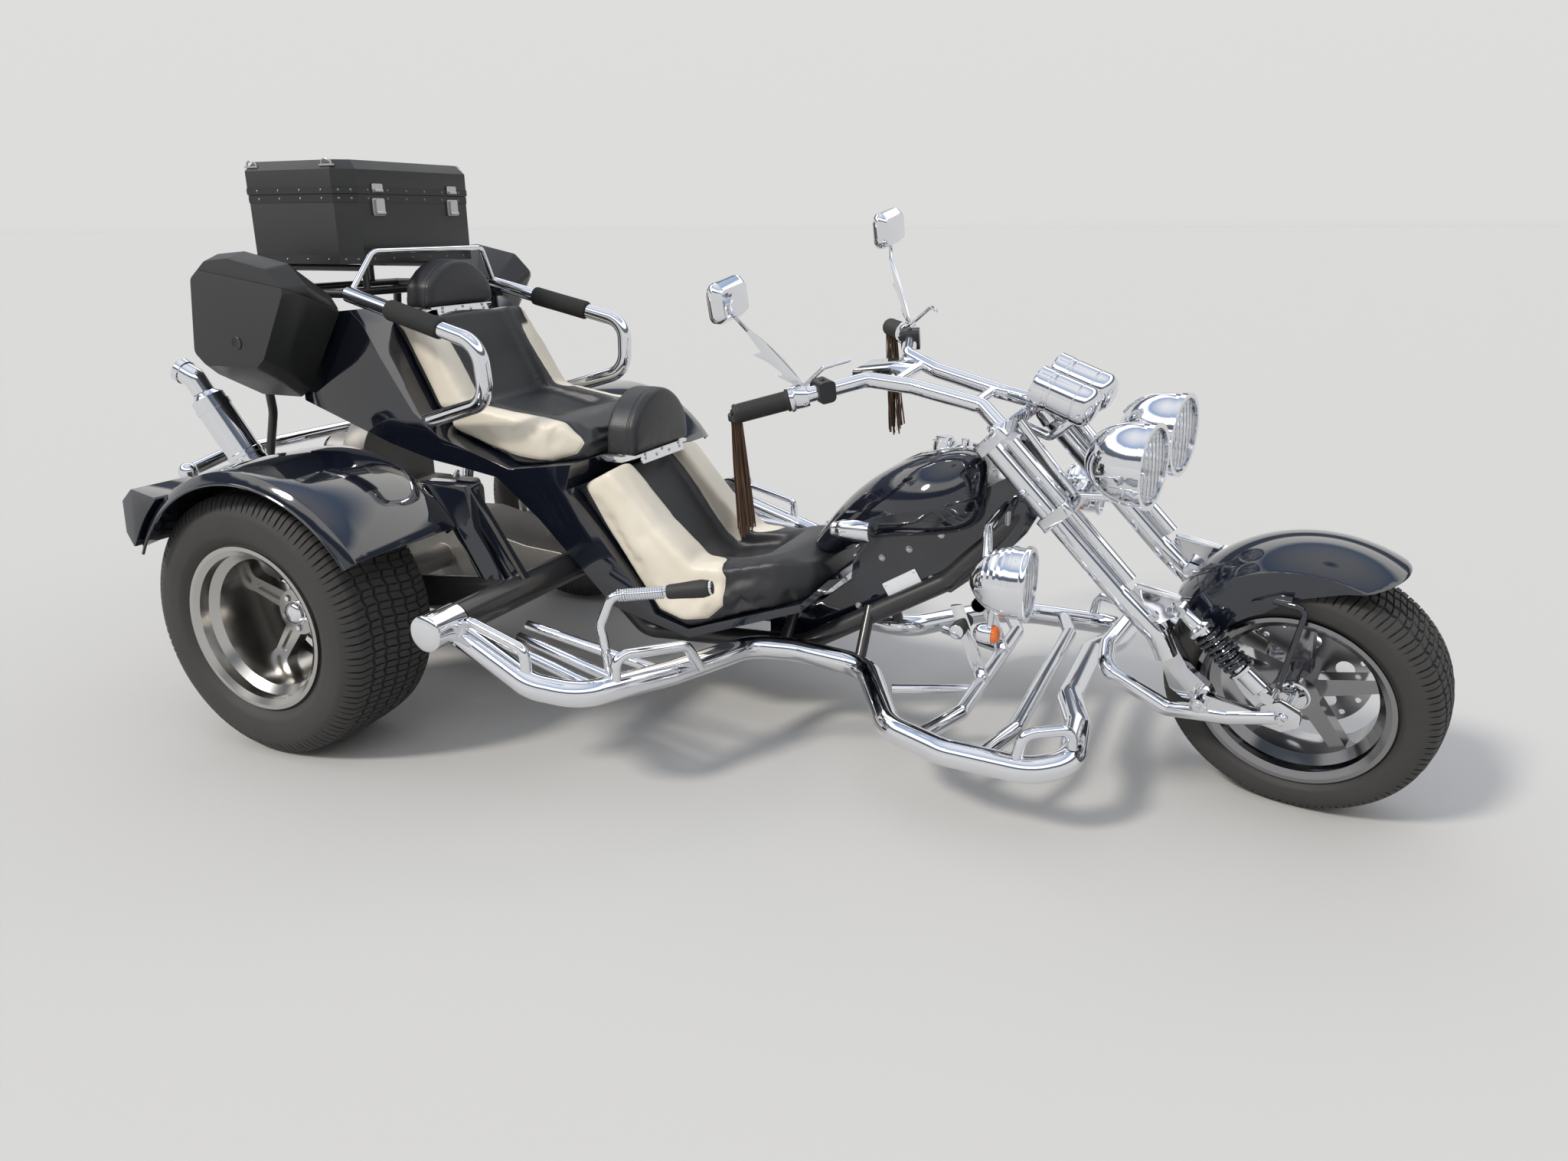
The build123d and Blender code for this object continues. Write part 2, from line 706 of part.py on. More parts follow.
LID_GAP = 0.8
lid_block = plan(case_outline(-2), CASE_SPLIT + LID_GAP, CASE_HIGH)
lid_edges = lid_block.faces().sort_by(Axis.Z)[-1].edges()
lid_block = chamfer(lid_edges, 24)
with BuildPart() as top_case_lid:
    add(lid_block)
    for piece in knuckles(HINGE_Y + 0.5, HINGE_Y + 30, CASE_SPLIT + 30):
        add(piece)
    add(plan(case_outline(CASE_WALL), CASE_SPLIT, CASE_HIGH - 26), mode=Mode.SUBTRACT)
    for piece in both(hinge_bore):
        add(piece, mode=Mode.SUBTRACT)

# Side cases: moulded shells that widen outwards, split by a sloping seam
# columns: x, z of the outer and of the inner outline
case_rows = [
    ((-405, 1158), (-350, 1085)),
    ((-335, 1210), (-290, 1122)),
    ((-240, 1218), (-150, 1122)),
    ((-90, 1188), (-82, 1100)),
    ((-30, 1130), (-54, 1058)),
    ((-148, 925), (-190, 850)),
    ((-184, 898), (-228, 826)),
    ((-395, 898), (-380, 826)),
    ((-438, 936), (-415, 870)),
]
SEAM = 0.8
SIDE_INNER = 346.0
SIDE_BELT = 462.0
SIDE_OUTER = 512.0
CASE_ROUND = 22.0


def side_shell(inset):
    """One side case, left, with its faces moved in by an inset."""
    with BuildPart() as piece:
        spread = 1 + (SIDE_BELT - SIDE_INNER) / (SIDE_OUTER - SIDE_INNER)
        for y, share, pull in [
            (SIDE_INNER + inset, 0.0, inset),
            (SIDE_BELT, 0.92, inset),
            (SIDE_OUTER - inset, 1.0, 26 + inset),
        ]:
            with BuildSketch(Plane.XZ.offset(-y)):
                with BuildLine():
                    points = []
                    for (xo, zo), (xi, zi) in case_rows:
                        points.append(Vector(REAR_AXLE_X + xi + (xo - xi) * share, zi + (zo - zi) * share))
                    middle = sum(points, Vector(0, 0)) / len(points)
                    span = 170.0
                    points = [middle + (p - middle) * (1 - pull / span) for p in points]
                    FilletPolyline(*points, radius=CASE_ROUND - inset, close=True)
                make_face()
        loft(ruled=True)
    return piece.part


# The seam plane passes through three points of the side case's seam.
seam_a, seam_b, seam_c = at(-30, 495, 1113), at(-391, 495, 1165), at(-47, 346, 1060)
seam_normal = (seam_b - seam_a).cross(seam_c - seam_a)
if seam_normal.Z < 0:
    seam_normal = seam_normal * -1
seam = Plane(origin=seam_a, x_dir=seam_b - seam_a, z_dir=seam_normal)
shell = side_shell(0) - side_shell(4)
above = extrude(seam.offset(SEAM / 2) * Rectangle(1600, 1600), 400)
below = extrude(seam.offset(-SEAM / 2) * Rectangle(1600, 1600), -800)

# Side lid hinges: pins along the seam beside the inner wall, through a lid knuckle each
SIDE_HINGE_Y = SIDE_INNER - 6
SIDE_PIN_D = 5.0
SIDE_KNUCKLE_D = 10.0
hinge_way = Vector(seam_a.X - seam_b.X, 0, seam_a.Z - seam_b.Z).normalized()


def on_seam(x):
    """Point of the side hinge line, x counted from the rear axle."""
    base = at(x, SIDE_HINGE_Y, 0)
    drop = (seam_a - base).dot(seam_normal) / seam_normal.Z
    return base + Vector(0, 0, drop)


def side_knuckle(x, z_far):
    """Barrel of one knuckle with its leaf on the case's inner wall."""
    start = on_seam(x)
    barrel = rod(start, start - hinge_way * 24, SIDE_KNUCKLE_D)
    low, high = sorted((start.Z + 2, start.Z + z_far))
    leaf = slab([(x, low), (x, high), (x - 24, high), (x - 24, low)], SIDE_HINGE_Y - 1, SIDE_INNER + 2)
    return barrel, leaf


case_left = shell & below
lid_left = shell & above
side_pins = []
for x in (-95, -300):
    case_barrel, case_leaf = side_knuckle(x, -16)
    lid_barrel, lid_leaf = side_knuckle(x - 25, 22)
    pin_start = on_seam(x)
    pin = rod(pin_start, pin_start - hinge_way * 50, SIDE_PIN_D)
    bore = rod(pin_start, pin_start - hinge_way * 51, SIDE_PIN_D + 2 * RUNNING)
    case_left = case_left + (case_leaf & below) + case_barrel + pin
    lid_left = (lid_left + (lid_leaf & above) + lid_barrel) - bore

with BuildPart() as side_cases:
    for piece in both(case_left):
        add(piece)
    add(luggage_rack.part, mode=Mode.SUBTRACT)

with BuildPart() as side_lid_left:
    add(lid_left)

with BuildPart() as side_lid_right:
    add(mirror(lid_left, about=Plane.XZ, mode=Mode.PRIVATE))

# Rear fenders: crowned arcs over the wheels
FENDER_X = 62.0
FENDER_Z = 335.0
FENDER_R = 412.0
FENDER_IN = 505.0
FENDER_OUT = 857.0
fender_section = [
    (FENDER_IN, FENDER_R - 42),
    (FENDER_IN, FENDER_R - 6),
    (FENDER_IN + 60, FENDER_R),
    (FENDER_OUT - 70, FENDER_R),
    (FENDER_OUT - 18, FENDER_R - 8),
    (FENDER_OUT, FENDER_R - 34),
    (FENDER_OUT - 5, FENDER_R - 34),
    (FENDER_OUT - 21, FENDER_R - 13),
    (FENDER_OUT - 70, FENDER_R - 5),
    (FENDER_IN + 60, FENDER_R - 5),
    (FENDER_IN + 5, FENDER_R - 11),
    (FENDER_IN + 5, FENDER_R - 42),
]
FENDER_FRONT = 34.0
FENDER_REAR = 152.0
with BuildPart() as fender:
    with BuildSketch(Plane.YZ):
        with BuildLine():
            Polyline(*fender_section, close=True)
        make_face()
    revolve(axis=Axis.Y, revolution_arc=FENDER_REAR - FENDER_FRONT)
fender_left = fender.part.rotate(Axis.Y, -(FENDER_REAR - 90))
low_edge = fender_left.bounding_box()
print("fender turned", low_edge.min, low_edge.max)
fender_left = fender_left.moved(Location(at(FENDER_X, 0, FENDER_Z)))
with BuildPart() as rear_fenders:
    for piece in both(fender_left):
        add(piece)

# Faceted fins that carry each fender from the torsion tube: sections in level planes
# columns: z, x of the ridge, x of the rear edge, x of the front edge, inner y, outer y
FIN_OUT = FENDER_IN - FIT
fin_rows = [
    (436, 470, 446, 520, FIN_OUT - 34, FIN_OUT),
    (560, 398, 372, 440, FIN_OUT - 46, FIN_OUT),
    (662, 318, 282, 422, FIN_OUT - 70, FIN_OUT),
]
fin_low = fin_rows[0][0]
with BuildPart() as fin:
    for z, ridge, rear, front, y_in, y_out in fin_rows:
        with BuildSketch(Plane.XY.offset(z)):
            with BuildLine():
                row = [(rear, y_in), (rear, y_out - 8), (ridge, y_out), (front, y_out - 14), (front, y_in)]
                Polyline(*[(REAR_AXLE_X + x, y) for x, y in row], close=True)
            make_face()
    loft(ruled=True)
fin_hollow = slab([(372, 650), (402, 560), (448, 470), (462, 470), (424, 560), (400, 650)], FIN_OUT - 100, FIN_OUT - 20, 6)
blade_b = slab([(405, 640), (425, 645), (480, 560), (562, 436), (535, 438), (440, 560)], FIN_OUT - 58, FIN_OUT - 30)
with BuildPart() as fender_blades:
    for piece in both(fin.part) + both(blade_b):
        add(piece)
    for piece in both(fin_hollow):
        add(piece, mode=Mode.SUBTRACT)
    add(rear_fenders.part, mode=Mode.SUBTRACT)
    add(frame_tubes.part, mode=Mode.SUBTRACT)
    add(suspension.part, mode=Mode.SUBTRACT)
    add(body_tub.part, mode=Mode.SUBTRACT)

# Tail pods at the rear ends of the fenders
POD_IN = FENDER_OUT - 167
POD_OUT = FENDER_OUT - 7
# columns: angle round the fender, height over the fender's skin
pod_rows = [(153.2, -2), (149.9, 36), (141.4, 76), (135.6, 69), (129.1, 0), (145.5, -4)]
pod_outline = []
for angle, rise in pod_rows:
    reach = FENDER_R + rise
    pod_outline.append((FENDER_X + reach * cos(radians(angle)), FENDER_Z + reach * sin(radians(angle))))
pod = slab(pod_outline, POD_IN, POD_OUT, 6)
pod_seat = rod(at(FENDER_X, POD_IN - 10, FENDER_Z), at(FENDER_X, POD_OUT + 10, FENDER_Z), 2 * (FENDER_R + FIT))
with BuildPart() as tail_pods:
    for piece in both(pod - pod_seat):
        add(piece)

# Side bars: closed loop of bright tube round the foot areas
# columns: x, distance from the middle, z
side_rows = [
    (545, 715, 385),
    (775, 752, 298),
    (880, 720, 278),
    (975, 480, 258),
    (1050, 205, 240),
    (1150, 160, 230),
    (1350, 155, 212),
    (1500, 425, 190),
    (1640, 485, 185),
    (1830, 492, 180),
    (1905, 440, 190),
    (1893, 290, 208),
    (1850, 160, 217),
]
left_run = [(x, y, z) for x, y, z in side_rows]
bar_points = route(left_run)
side_bar = tube(bar_points + [Vector(p.X, -p.Y, p.Z) for p in reversed(bar_points)], SIDE_BAR_D, 42)
# columns: x and distance from the middle of the end, x of the bend, its distance, z
crossbar_rows = [(1570, 450, 1628, 293, 194), (1719, 487, 1763, 331, 194)]
with BuildPart() as side_bars:
    add(side_bar)
    for x_end, y_end, x_bend, y_bend, z in crossbar_rows:
        points = route([(x_end, -y_end, z - 8), (x_bend, -y_bend, z), (x_bend, y_bend, z), (x_end, y_end, z - 8)])
        add(tube(points, CROSSBAR_D, 30))
    for side in (-1, 1):
        add(rod(at(1438, side * 225, 195), at(1628, side * 138, 192), GRILLE_D))
        low, high = at(TORSION[0], side * (CAP_Y + FIT), TORSION[1]), at(TORSION[0], side * 802, TORSION[1])
        add(rod(low, high, TORSION_TUBE_D))
        for x in (1120, 1330):
            add(rod(at(x, side * 158, 225), at(x, side * 80, 305 if x < 1200 else 345), 30))
    add(frame_tubes.part, mode=Mode.SUBTRACT)
    add(backbone.part, mode=Mode.SUBTRACT)

# Foot grilles: passenger rods and the small foot hoops
# columns: x, distance, z of one end and of the other
grille_rows = [
    ((505, 645, 345), (775, 722, 298)),
    ((560, 610, 330), (885, 675, 285)),
    ((600, 555, 320), (895, 615, 285)),
    ((585, 500, 330), (960, 500, 268)),
]
hoop_rows = [
    [(566, 735, 362), (600, 738, 425), (760, 748, 380), (765, 748, 305)],
    [(922, 640, 272), (926, 640, 352), (1012, 470, 330), (1020, 420, 258)],
    [(1798, 492, 190), (1812, 492, 262), (1900, 430, 262), (1905, 430, 196)],
]
with BuildPart() as foot_grilles:
    for (xa, ya, za), (xb, yb, zb) in grille_rows:
        for side in (-1, 1):
            add(rod(at(xa, side * ya, za), at(xb, side * yb, zb), GRILLE_D))
    for rows in hoop_rows:
        for piece in both(tube(route(rows), GRILLE_D, 28)):
            add(piece)
    add(side_bars.part, mode=Mode.SUBTRACT)
    add(frame_tubes.part, mode=Mode.SUBTRACT)

# Tank: teardrop over the backbone
# columns: x, half width, low z, z of the widest line, top z
tank_rows = [
    (1150, 26, 425, 452, 478),
    (1225, 80, 462, 520, 580),
    (1330, 136, 518, 585, 672),
    (1450, 172, 545, 625, 732),
    (1540, 160, 562, 640, 752),
    (1606, 80, 600, 655, 716),
]
with BuildPart() as tank_solid:
    for x, half, low, waist, top in tank_rows:
        with BuildSketch(Plane.YZ.offset(REAR_AXLE_X + x)):
            with BuildLine():
                shoulder = waist + (top - waist) * 0.74
                belly = waist - (waist - low) * 0.78
                a1 = ThreePointArc((half, waist), (half * 0.76, shoulder), (0, top))
                a2 = ThreePointArc(a1 @ 1, (-half * 0.76, shoulder), (-half, waist))
                a3 = ThreePointArc(a2 @ 1, (-half * 0.72, belly), (0, low))
                ThreePointArc(a3 @ 1, (half * 0.72, belly), (half, waist))
            make_face()
    loft()
with BuildPart() as tank:
    add(tank_solid.part)
    add(frame_tubes.part, mode=Mode.SUBTRACT)
    add(backbone.part, mode=Mode.SUBTRACT)
    add(driver_seat.part, mode=Mode.SUBTRACT)

# Bright bullet cup beside the tank, console strip and filler cap on top of it
console_side = [(1385, 640), (1385, 705), (1430, 731), (1480, 751), (1535, 762), (1572, 746), (1602, 722), (1590, 700)]
console_plan = [(1385, 12), (1430, 30), (1535, 40), (1602, 26)]
console_outline = [(x, y) for x, y in console_plan] + [(x, -y) for x, y in reversed(console_plan)]
console = slab(console_side, -60, 60, 12) & plan(console_outline, 600, 800)
cup = spun([(0, 0), (0, 14), (6, 20), (16, 20), (30, 26), (107, 30), (107, 0)], at(1238, -118, 547), Vector(1, -0.04, 0.07))
with BuildPart() as dash:
    add(cup)
    add(console)
    add(rod(at(1484, 0, 740), at(1484, 0, 768), 56))
    add(rod(at(1484, 0, 765), at(1484, 0, 776), 44))
    add(rod(at(1536, 0, 750), at(1536, 0, 774), 20))
    add(tank.part, mode=Mode.SUBTRACT)
    add(frame_tubes.part, mode=Mode.SUBTRACT)
    add(backbone.part, mode=Mode.SUBTRACT)

# Spot lamps on side arms, with indicators below
SPOT_Y = 470.0
SPOT_BACK = at(1680, SPOT_Y, 578)
SPOT_R = 72.0
SPOT_DEPTH = 124.0
FORWARD = Vector(1, 0, 0)
spot_shell = bowl(SPOT_BACK, FORWARD, SPOT_DEPTH, SPOT_R, 6, 20)
louvres = []
for step in range(5):
    reach = 34 + 13 * step
    height = SPOT_R * sqrt(max(0.0, 1 - ((SPOT_DEPTH - 20 - reach) / (SPOT_DEPTH - 20)) ** 2)) + 4
    ring = rod(SPOT_BACK + FORWARD * reach, SPOT_BACK + FORWARD * (reach + 5), 2 * height)
    ring = ring - rod(SPOT_BACK + FORWARD * (reach - 1), SPOT_BACK + FORWARD * (reach + 6), 2 * height - 14)
    top_half = slab([(1650, 590), (1650, 700), (1850, 700), (1850, 590)], SPOT_Y - 100, SPOT_Y + 100)
    louvres.append(ring & top_half)
spot_arm = tube(route([(1656, 30, 560), (1666, 90, 646), (1672, 300, 640), (1712, SPOT_Y, 598)]), 22, 40)
with BuildPart() as spot_lamps:
    for piece in both(spot_shell) + both(spot_arm):
        add(piece)
    for louvre in louvres:
        for piece in both(louvre):
            add(piece)
    add(frame_tubes.part, mode=Mode.SUBTRACT)
    add(backbone.part, mode=Mode.SUBTRACT)
    add(tank.part, mode=Mode.SUBTRACT)

spot_lens = rod(
    SPOT_BACK + FORWARD * (SPOT_DEPTH - 6), SPOT_BACK + FORWARD * SPOT_DEPTH, 2 * (SPOT_R - 6 - FIT)
)
with BuildPart() as spot_lenses:
    for piece in both(spot_lens):
        add(piece)
    add(spot_lamps.part, mode=Mode.SUBTRACT)

signal_stem = rod(at(1735, SPOT_Y, 530), at(1722, SPOT_Y - 18, 458), 16)
signal_pod = rod(at(1690, SPOT_Y - 20, 455), at(1745, SPOT_Y - 20, 455), 44)
with BuildPart() as indicators:
    for piece in both(signal_stem) + both(signal_pod):
        add(piece)
    add(spot_lamps.part, mode=Mode.SUBTRACT)

# Foot pedals and the right-hand lever
pedal_arm = slab([(1612, 205), (1545, 385), (1572, 392), (1648, 205)], -112, -100)
pedal_roll = rod(at(1572, -150, 335), at(1572, -60, 335), 34)
hand_lever = tube(route([(893, -612, 284), (858, -590, 400), (880, -572, 466), (1000, -520, 476)]), 22, 28)
hand_knob = rod(at(1000, -520, 476), at(1100, -498, 492), 30)
with BuildPart() as control_levers:
    add(pedal_arm)
    add(pedal_roll)
    add(mirror(pedal_arm, about=Plane.XZ, mode=Mode.PRIVATE))
    add(mirror(pedal_roll, about=Plane.XZ, mode=Mode.PRIVATE))
    add(hand_lever)
    add(hand_knob)
    add(side_bars.part, mode=Mode.SUBTRACT)
    add(foot_grilles.part, mode=Mode.SUBTRACT)

# Steered pieces, straight ahead first
LEG_Y = 130.0
LEG_AHEAD = 45.0
CLAMP_LOW = 634.0
CLAMP_HIGH = 793.0
LEG_FOOT = (2036.0, 478.0)


def leg_point(z, ahead=LEG_AHEAD):
    """Point on a fork leg at a height above the ground."""
    height = z - ahead * sin(radians(RAKE))
    return on_steering(height, ahead, LEG_Y)


STRUT_AHEAD = LEG_AHEAD + 46.0
leg_main = tube(
    [leg_point(835), leg_point(505), at(2062, LEG_Y, 420), at(2082, LEG_Y, 372)],
    FORK_D,
    90,
)
leg_strut = rod(leg_point(835, STRUT_AHEAD), leg_point(545, STRUT_AHEAD), STRUT_D)
gusset = slab([(1988, 505), (2010, 540), (2100, 530), (2126, 508), (2104, 486), (2062, 452)], LEG_Y - 6, LEG_Y + 6, 5)
gusset_rib = rod(at(2004, LEG_Y, 534), at(2106, LEG_Y, 524), 14)
# Tapered foot plate from the bend of the leg down to the link's pivot
FOOT_Y = 101.0
leg_plate = slab(
    [(2030, 478), (2066, 470), (2100, 392), (2128, 345), (2176, 308), (2190, 282), (2172, 262), (2122, 262), (2088, 284), (2056, 378)],
    FOOT_Y,
    FOOT_Y + 20,
    9,
)
leg_rib = slab([(2062, 440), (2080, 440), (2112, 350), (2150, 300), (2132, 292), (2092, 336)], FOOT_Y + 19, FOOT_Y + 34, 4)
fork_pieces = []
for piece in (leg_main, leg_strut, gusset, gusset_rib, leg_plate, leg_rib):
    fork_pieces += both(piece)
with BuildPart() as fork_tubes:
    for piece in fork_pieces:
        add(turned(piece))


def clamp_plate(height):
    """Fork yoke: flat plate square to the steering line."""
    frame = Plane(origin=on_steering(height), x_dir=AHEAD, z_dir=STEER_DIRECTION)
    with BuildPart() as piece:
        with BuildSketch(frame):
            with BuildLine():
                FilletPolyline(
                    (-34, -40), (18, -162), (112, -168), (125, -60), (125, 60), (112, 168), (18, 162), (-34, 40),
                    radius=16, close=True,
                )
            make_face()
        extrude(amount=15, both=True)
    return piece.part


stem = rod(on_steering(CLAMP_LOW), on_steering(CLAMP_HIGH), STEM_D)
clamp_parts = [clamp_plate(CLAMP_LOW), clamp_plate(CLAMP_HIGH), stem]
with BuildPart() as fork_clamps:
    for piece in clamp_parts:
        add(turned(piece))
    add(fork_tubes.part, mode=Mode.SUBTRACT)

# Leading link arm: a bent tube from the axle round behind the wheel
LINK_Y = 142.0
link_half = route([(WHEELBASE - 12, LINK_Y, 296), (2230, LINK_Y, 262), (2090, LINK_Y, 240), (1945, LINK_Y, 305), (1918, 60, 318)])
link_tube = tube(link_half + [Vector(p.X, -p.Y, p.Z) for p in reversed(link_half)], LINK_D, 45)
AXLE_PLATE = [(2295, 268), (2295, 316), (2330, 336), (2375, 316), (2375, 285), (2340, 262)]
link_pieces = [link_tube]
for piece in both(slab(AXLE_PLATE, LINK_Y - 9, LINK_Y + 9, 8)):
    link_pieces.append(piece)
for piece in both(slab([(2160, 292), (2178, 306), (2282, 296), (2290, 270), (2170, 260)], 134, 150)):
    link_pieces.append(piece)
link_pieces.append(rod(FRONT_AXLE - Vector(0, 160, 0), FRONT_AXLE + Vector(0, 160, 0), AXLE_D))
for y in (-1, 1):
    link_pieces.append(rod(at(2166, y * 106, 284), at(2166, y * 168, 284), 36))
with BuildPart() as link_arm:
    for piece in link_pieces:
        add(turned(piece))
    add(fork_tubes.part, mode=Mode.SUBTRACT)

# Shock absorbers with coil springs, one each side
SHOCK_Y = 142.0
shock_low, shock_high = at(2306, SHOCK_Y, 340), at(2112, SHOCK_Y, 506)
shock_way = (shock_high - shock_low).normalized()
shock_run = (shock_high - shock_low).length
COIL_R = 31.0
COILS = 7
shock_outline = [(0, 0), (0, 11), (20, 14), (24, 19), (70, 19), (74, 26), (80, 26), (80, 15)]
shock_outline += [(shock_run - 62, 15), (shock_run - 62, 27), (shock_run - 52, 27), (shock_run - 46, 15), (shock_run, 13), (shock_run, 0)]
shock_pieces = both(spun(shock_outline, shock_low, shock_way))
coil_room = shock_run - 62 - 80
for coil in range(COILS):
    start = shock_low + shock_way * (82 + coil_room * coil / COILS)
    shock_pieces += both(rod(start, start + shock_way * 9, 2 * COIL_R))
shock_pieces += both(rod(shock_low - Vector(0, 14, 0), shock_low + Vector(0, 14, 0), 28))
shock_pieces += both(rod(shock_high - Vector(0, 14, 0), shock_high + Vector(0, 14, 0), 28))
with BuildPart() as shocks:
    for piece in shock_pieces:
        add(turned(piece))
    add(fork_tubes.part, mode=Mode.SUBTRACT)
    add(link_arm.part, mode=Mode.SUBTRACT)

# Front fender: crowned band over the front wheel, on stay plates
BAND_R = 326.0
BAND_CENTRE = at(2352, 0, 332)
BAND_HALF = 104.0
SKIRT_R = 200.0
SKIN = 4.0
BAND_FRONT = 55.0
BAND_REAR = 151.0
with BuildPart() as band:
    with BuildSketch(Plane.YZ):
        with BuildLine():
            crown = ThreePointArc((-BAND_HALF, BAND_R - 34), (0, BAND_R), (BAND_HALF, BAND_R - 34))
            l1 = Line(crown @ 1, (BAND_HALF, SKIRT_R))
            l2 = Line(l1 @ 1, (BAND_HALF - SKIN, SKIRT_R))
            l3 = Line(l2 @ 1, (BAND_HALF - SKIN, BAND_R - 36))
            under = ThreePointArc(l3 @ 1, (0, BAND_R - SKIN), (SKIN - BAND_HALF, BAND_R - 36))
            l4 = Line(under @ 1, (SKIN - BAND_HALF, SKIRT_R))
            l5 = Line(l4 @ 1, (-BAND_HALF, SKIRT_R))
            Line(l5 @ 1, crown @ 0)
        make_face()
    revolve(axis=Axis.Y, revolution_arc=BAND_REAR - BAND_FRONT)
band_turned = band.part.rotate(Axis.Y, -(BAND_REAR - 90)).moved(Location(BAND_CENTRE))
# The skirt's lower edge rises towards the front tip
skirt_cut = slab(
    [(2190, 440), (2262, 508), (2322, 560), (2420, 596), (2560, 622), (2700, 400), (2300, 200), (2140, 300), (2150, 420)],
    -150,
    150,
    16,
)
band_straight = band_turned - skirt_cut
stay_pieces = both(slab([(2244, 522), (2246, 544), (2300, 572), (2326, 574), (2326, 556)], BAND_HALF - 1, BAND_HALF + 12))
stay_pieces += both(tube(route([(2290, 116, 556), (2356, 118, 556), (2322, 134, 362)]), 13, 18))
stay_pieces += both(slab([(2082, 476), (2088, 512), (2122, 520), (2130, 490)], BAND_HALF - 1, 124))
with BuildPart() as front_fender:
    add(turned(band_straight))
    for piece in stay_pieces:
        add(turned(piece))
    add(fork_tubes.part, mode=Mode.SUBTRACT)
    add(link_arm.part, mode=Mode.SUBTRACT)
    add(shocks.part, mode=Mode.SUBTRACT)

# Handlebar: twin pulled-back tubes with cross braces and a top clamp
bar_rows = [
    (1722, 112, 826),
    (1660, 85, 850),
    (1600, 50, 876),
    (1419, 60, 908),
    (1318, 95, 926),
    (1240, 245, 929),
    (1110, 352, 906),
]
GRIP_START = at(1205, 274, 922.8)
bar_half = tube(route(bar_rows), HANDLEBAR_D, 38)
bar_pieces = both(bar_half)
for x, y, z in [(1375, 66, 916), (1581, 52, 880)]:
    bar_pieces.append(rod(at(x, -y, z), at(x, y, z), 24))
riser_foot, riser_head = on_steering(CLAMP_HIGH + 12, 60, 112), at(1722, 112, 826)
bar_pieces += both(rod(riser_foot, riser_head, 44))
with BuildPart() as handlebar:
    for piece in bar_pieces:
        add(turned(piece))
    add(fork_tubes.part, mode=Mode.SUBTRACT)
    add(fork_clamps.part, mode=Mode.SUBTRACT)

grip_run = at(1110, 352, 906) - at(1240, 245, 929)
grip_way = grip_run.normalized()
grip_end = at(1110, 352, 906) + grip_way * 6
grip = rod(grip_end - grip_way * 128, grip_end, 44)
ring = rod(grip_end - grip_way * 136, grip_end - grip_way * 128, 54)
with BuildPart() as grips:
    for piece in both(grip) + both(ring):
        add(turned(piece))
    add(handlebar.part, mode=Mode.SUBTRACT)

# Clutch and brake clamps with short levers and switch pods
pod_place = at(1240, 236, 929)
bar_control_pieces = both(rod(pod_place, pod_place + grip_way * 34, 58))
bar_control_pieces.append(slab([(1224, 872), (1228, 918), (1330, 934), (1377, 930), (1377, 900), (1330, 880)], -26, 58, 6))
bar_control_pieces += both(tube(route([(1230, 246, 946), (1303, 248, 1005), (1345, 200, 1012)]), 10, 8))
with BuildPart() as bar_controls:
    for piece in bar_control_pieces:
        add(turned(piece))
    add(handlebar.part, mode=Mode.SUBTRACT)
    add(grips.part, mode=Mode.SUBTRACT)

# Mirrors on flame-cut blade stems
MIRROR = at(1118, 345, 1178)
with BuildPart() as mirror_solid:
    with BuildSketch(Plane(origin=MIRROR, x_dir=(0, 1, 0), z_dir=(1, 0, 0))):
        RectangleRounded(118, 92, 26)
    extrude(amount=14)
    with BuildSketch(Plane(origin=MIRROR + Vector(14, 0, 0), x_dir=(0, 1, 0), z_dir=(1, 0, 0))) as face:
        RectangleRounded(118, 92, 26)
    extrude(amount=18, taper=38)
# columns: run along the blade, side
flame = [
    (-4, -8),
    (40, -10),
    (74, -24),
    (70, -10),
    (112, -16),
    (150, -30),
    (142, -12),
    (205, -4),
    (205, 5),
    (150, 12),
    (90, 16),
    (40, 11),
    (-4, 8),
]
stem_base = at(1240, 243, 938)
stem_along = (at(1142, 320, 1111) - stem_base).normalized()
with BuildPart() as stem_blade:
    side_way = Vector(1, 0.35, 0)
    with BuildSketch(Plane(origin=stem_base, x_dir=stem_along, z_dir=stem_along.cross(Vector(0, 0, 1)))):
        with BuildLine():
            Polyline(*flame, close=True)
        make_face()
    extrude(amount=3, both=True)
blade_end = stem_base + stem_along * 200
mirror_pieces = both(mirror_solid.part) + both(stem_blade.part)
mirror_pieces += both(tube([blade_end, MIRROR + Vector(16, 0, -30)], 10))
with BuildPart() as mirrors:
    for piece in mirror_pieces:
        add(turned(piece))
    add(handlebar.part, mode=Mode.SUBTRACT)
    add(bar_controls.part, mode=Mode.SUBTRACT)
    add(grips.part, mode=Mode.SUBTRACT)

# Leather fringes hanging from the grips
fringe = tube([grip_end + Vector(4, -4, 16), grip_end + Vector(4, -4, -60), grip_end + Vector(-8, 6, -330)], 26)
with BuildPart() as fringes:
    for piece in both(fringe):
        add(turned(piece))
    add(grips.part, mode=Mode.SUBTRACT)
    add(handlebar.part, mode=Mode.SUBTRACT)

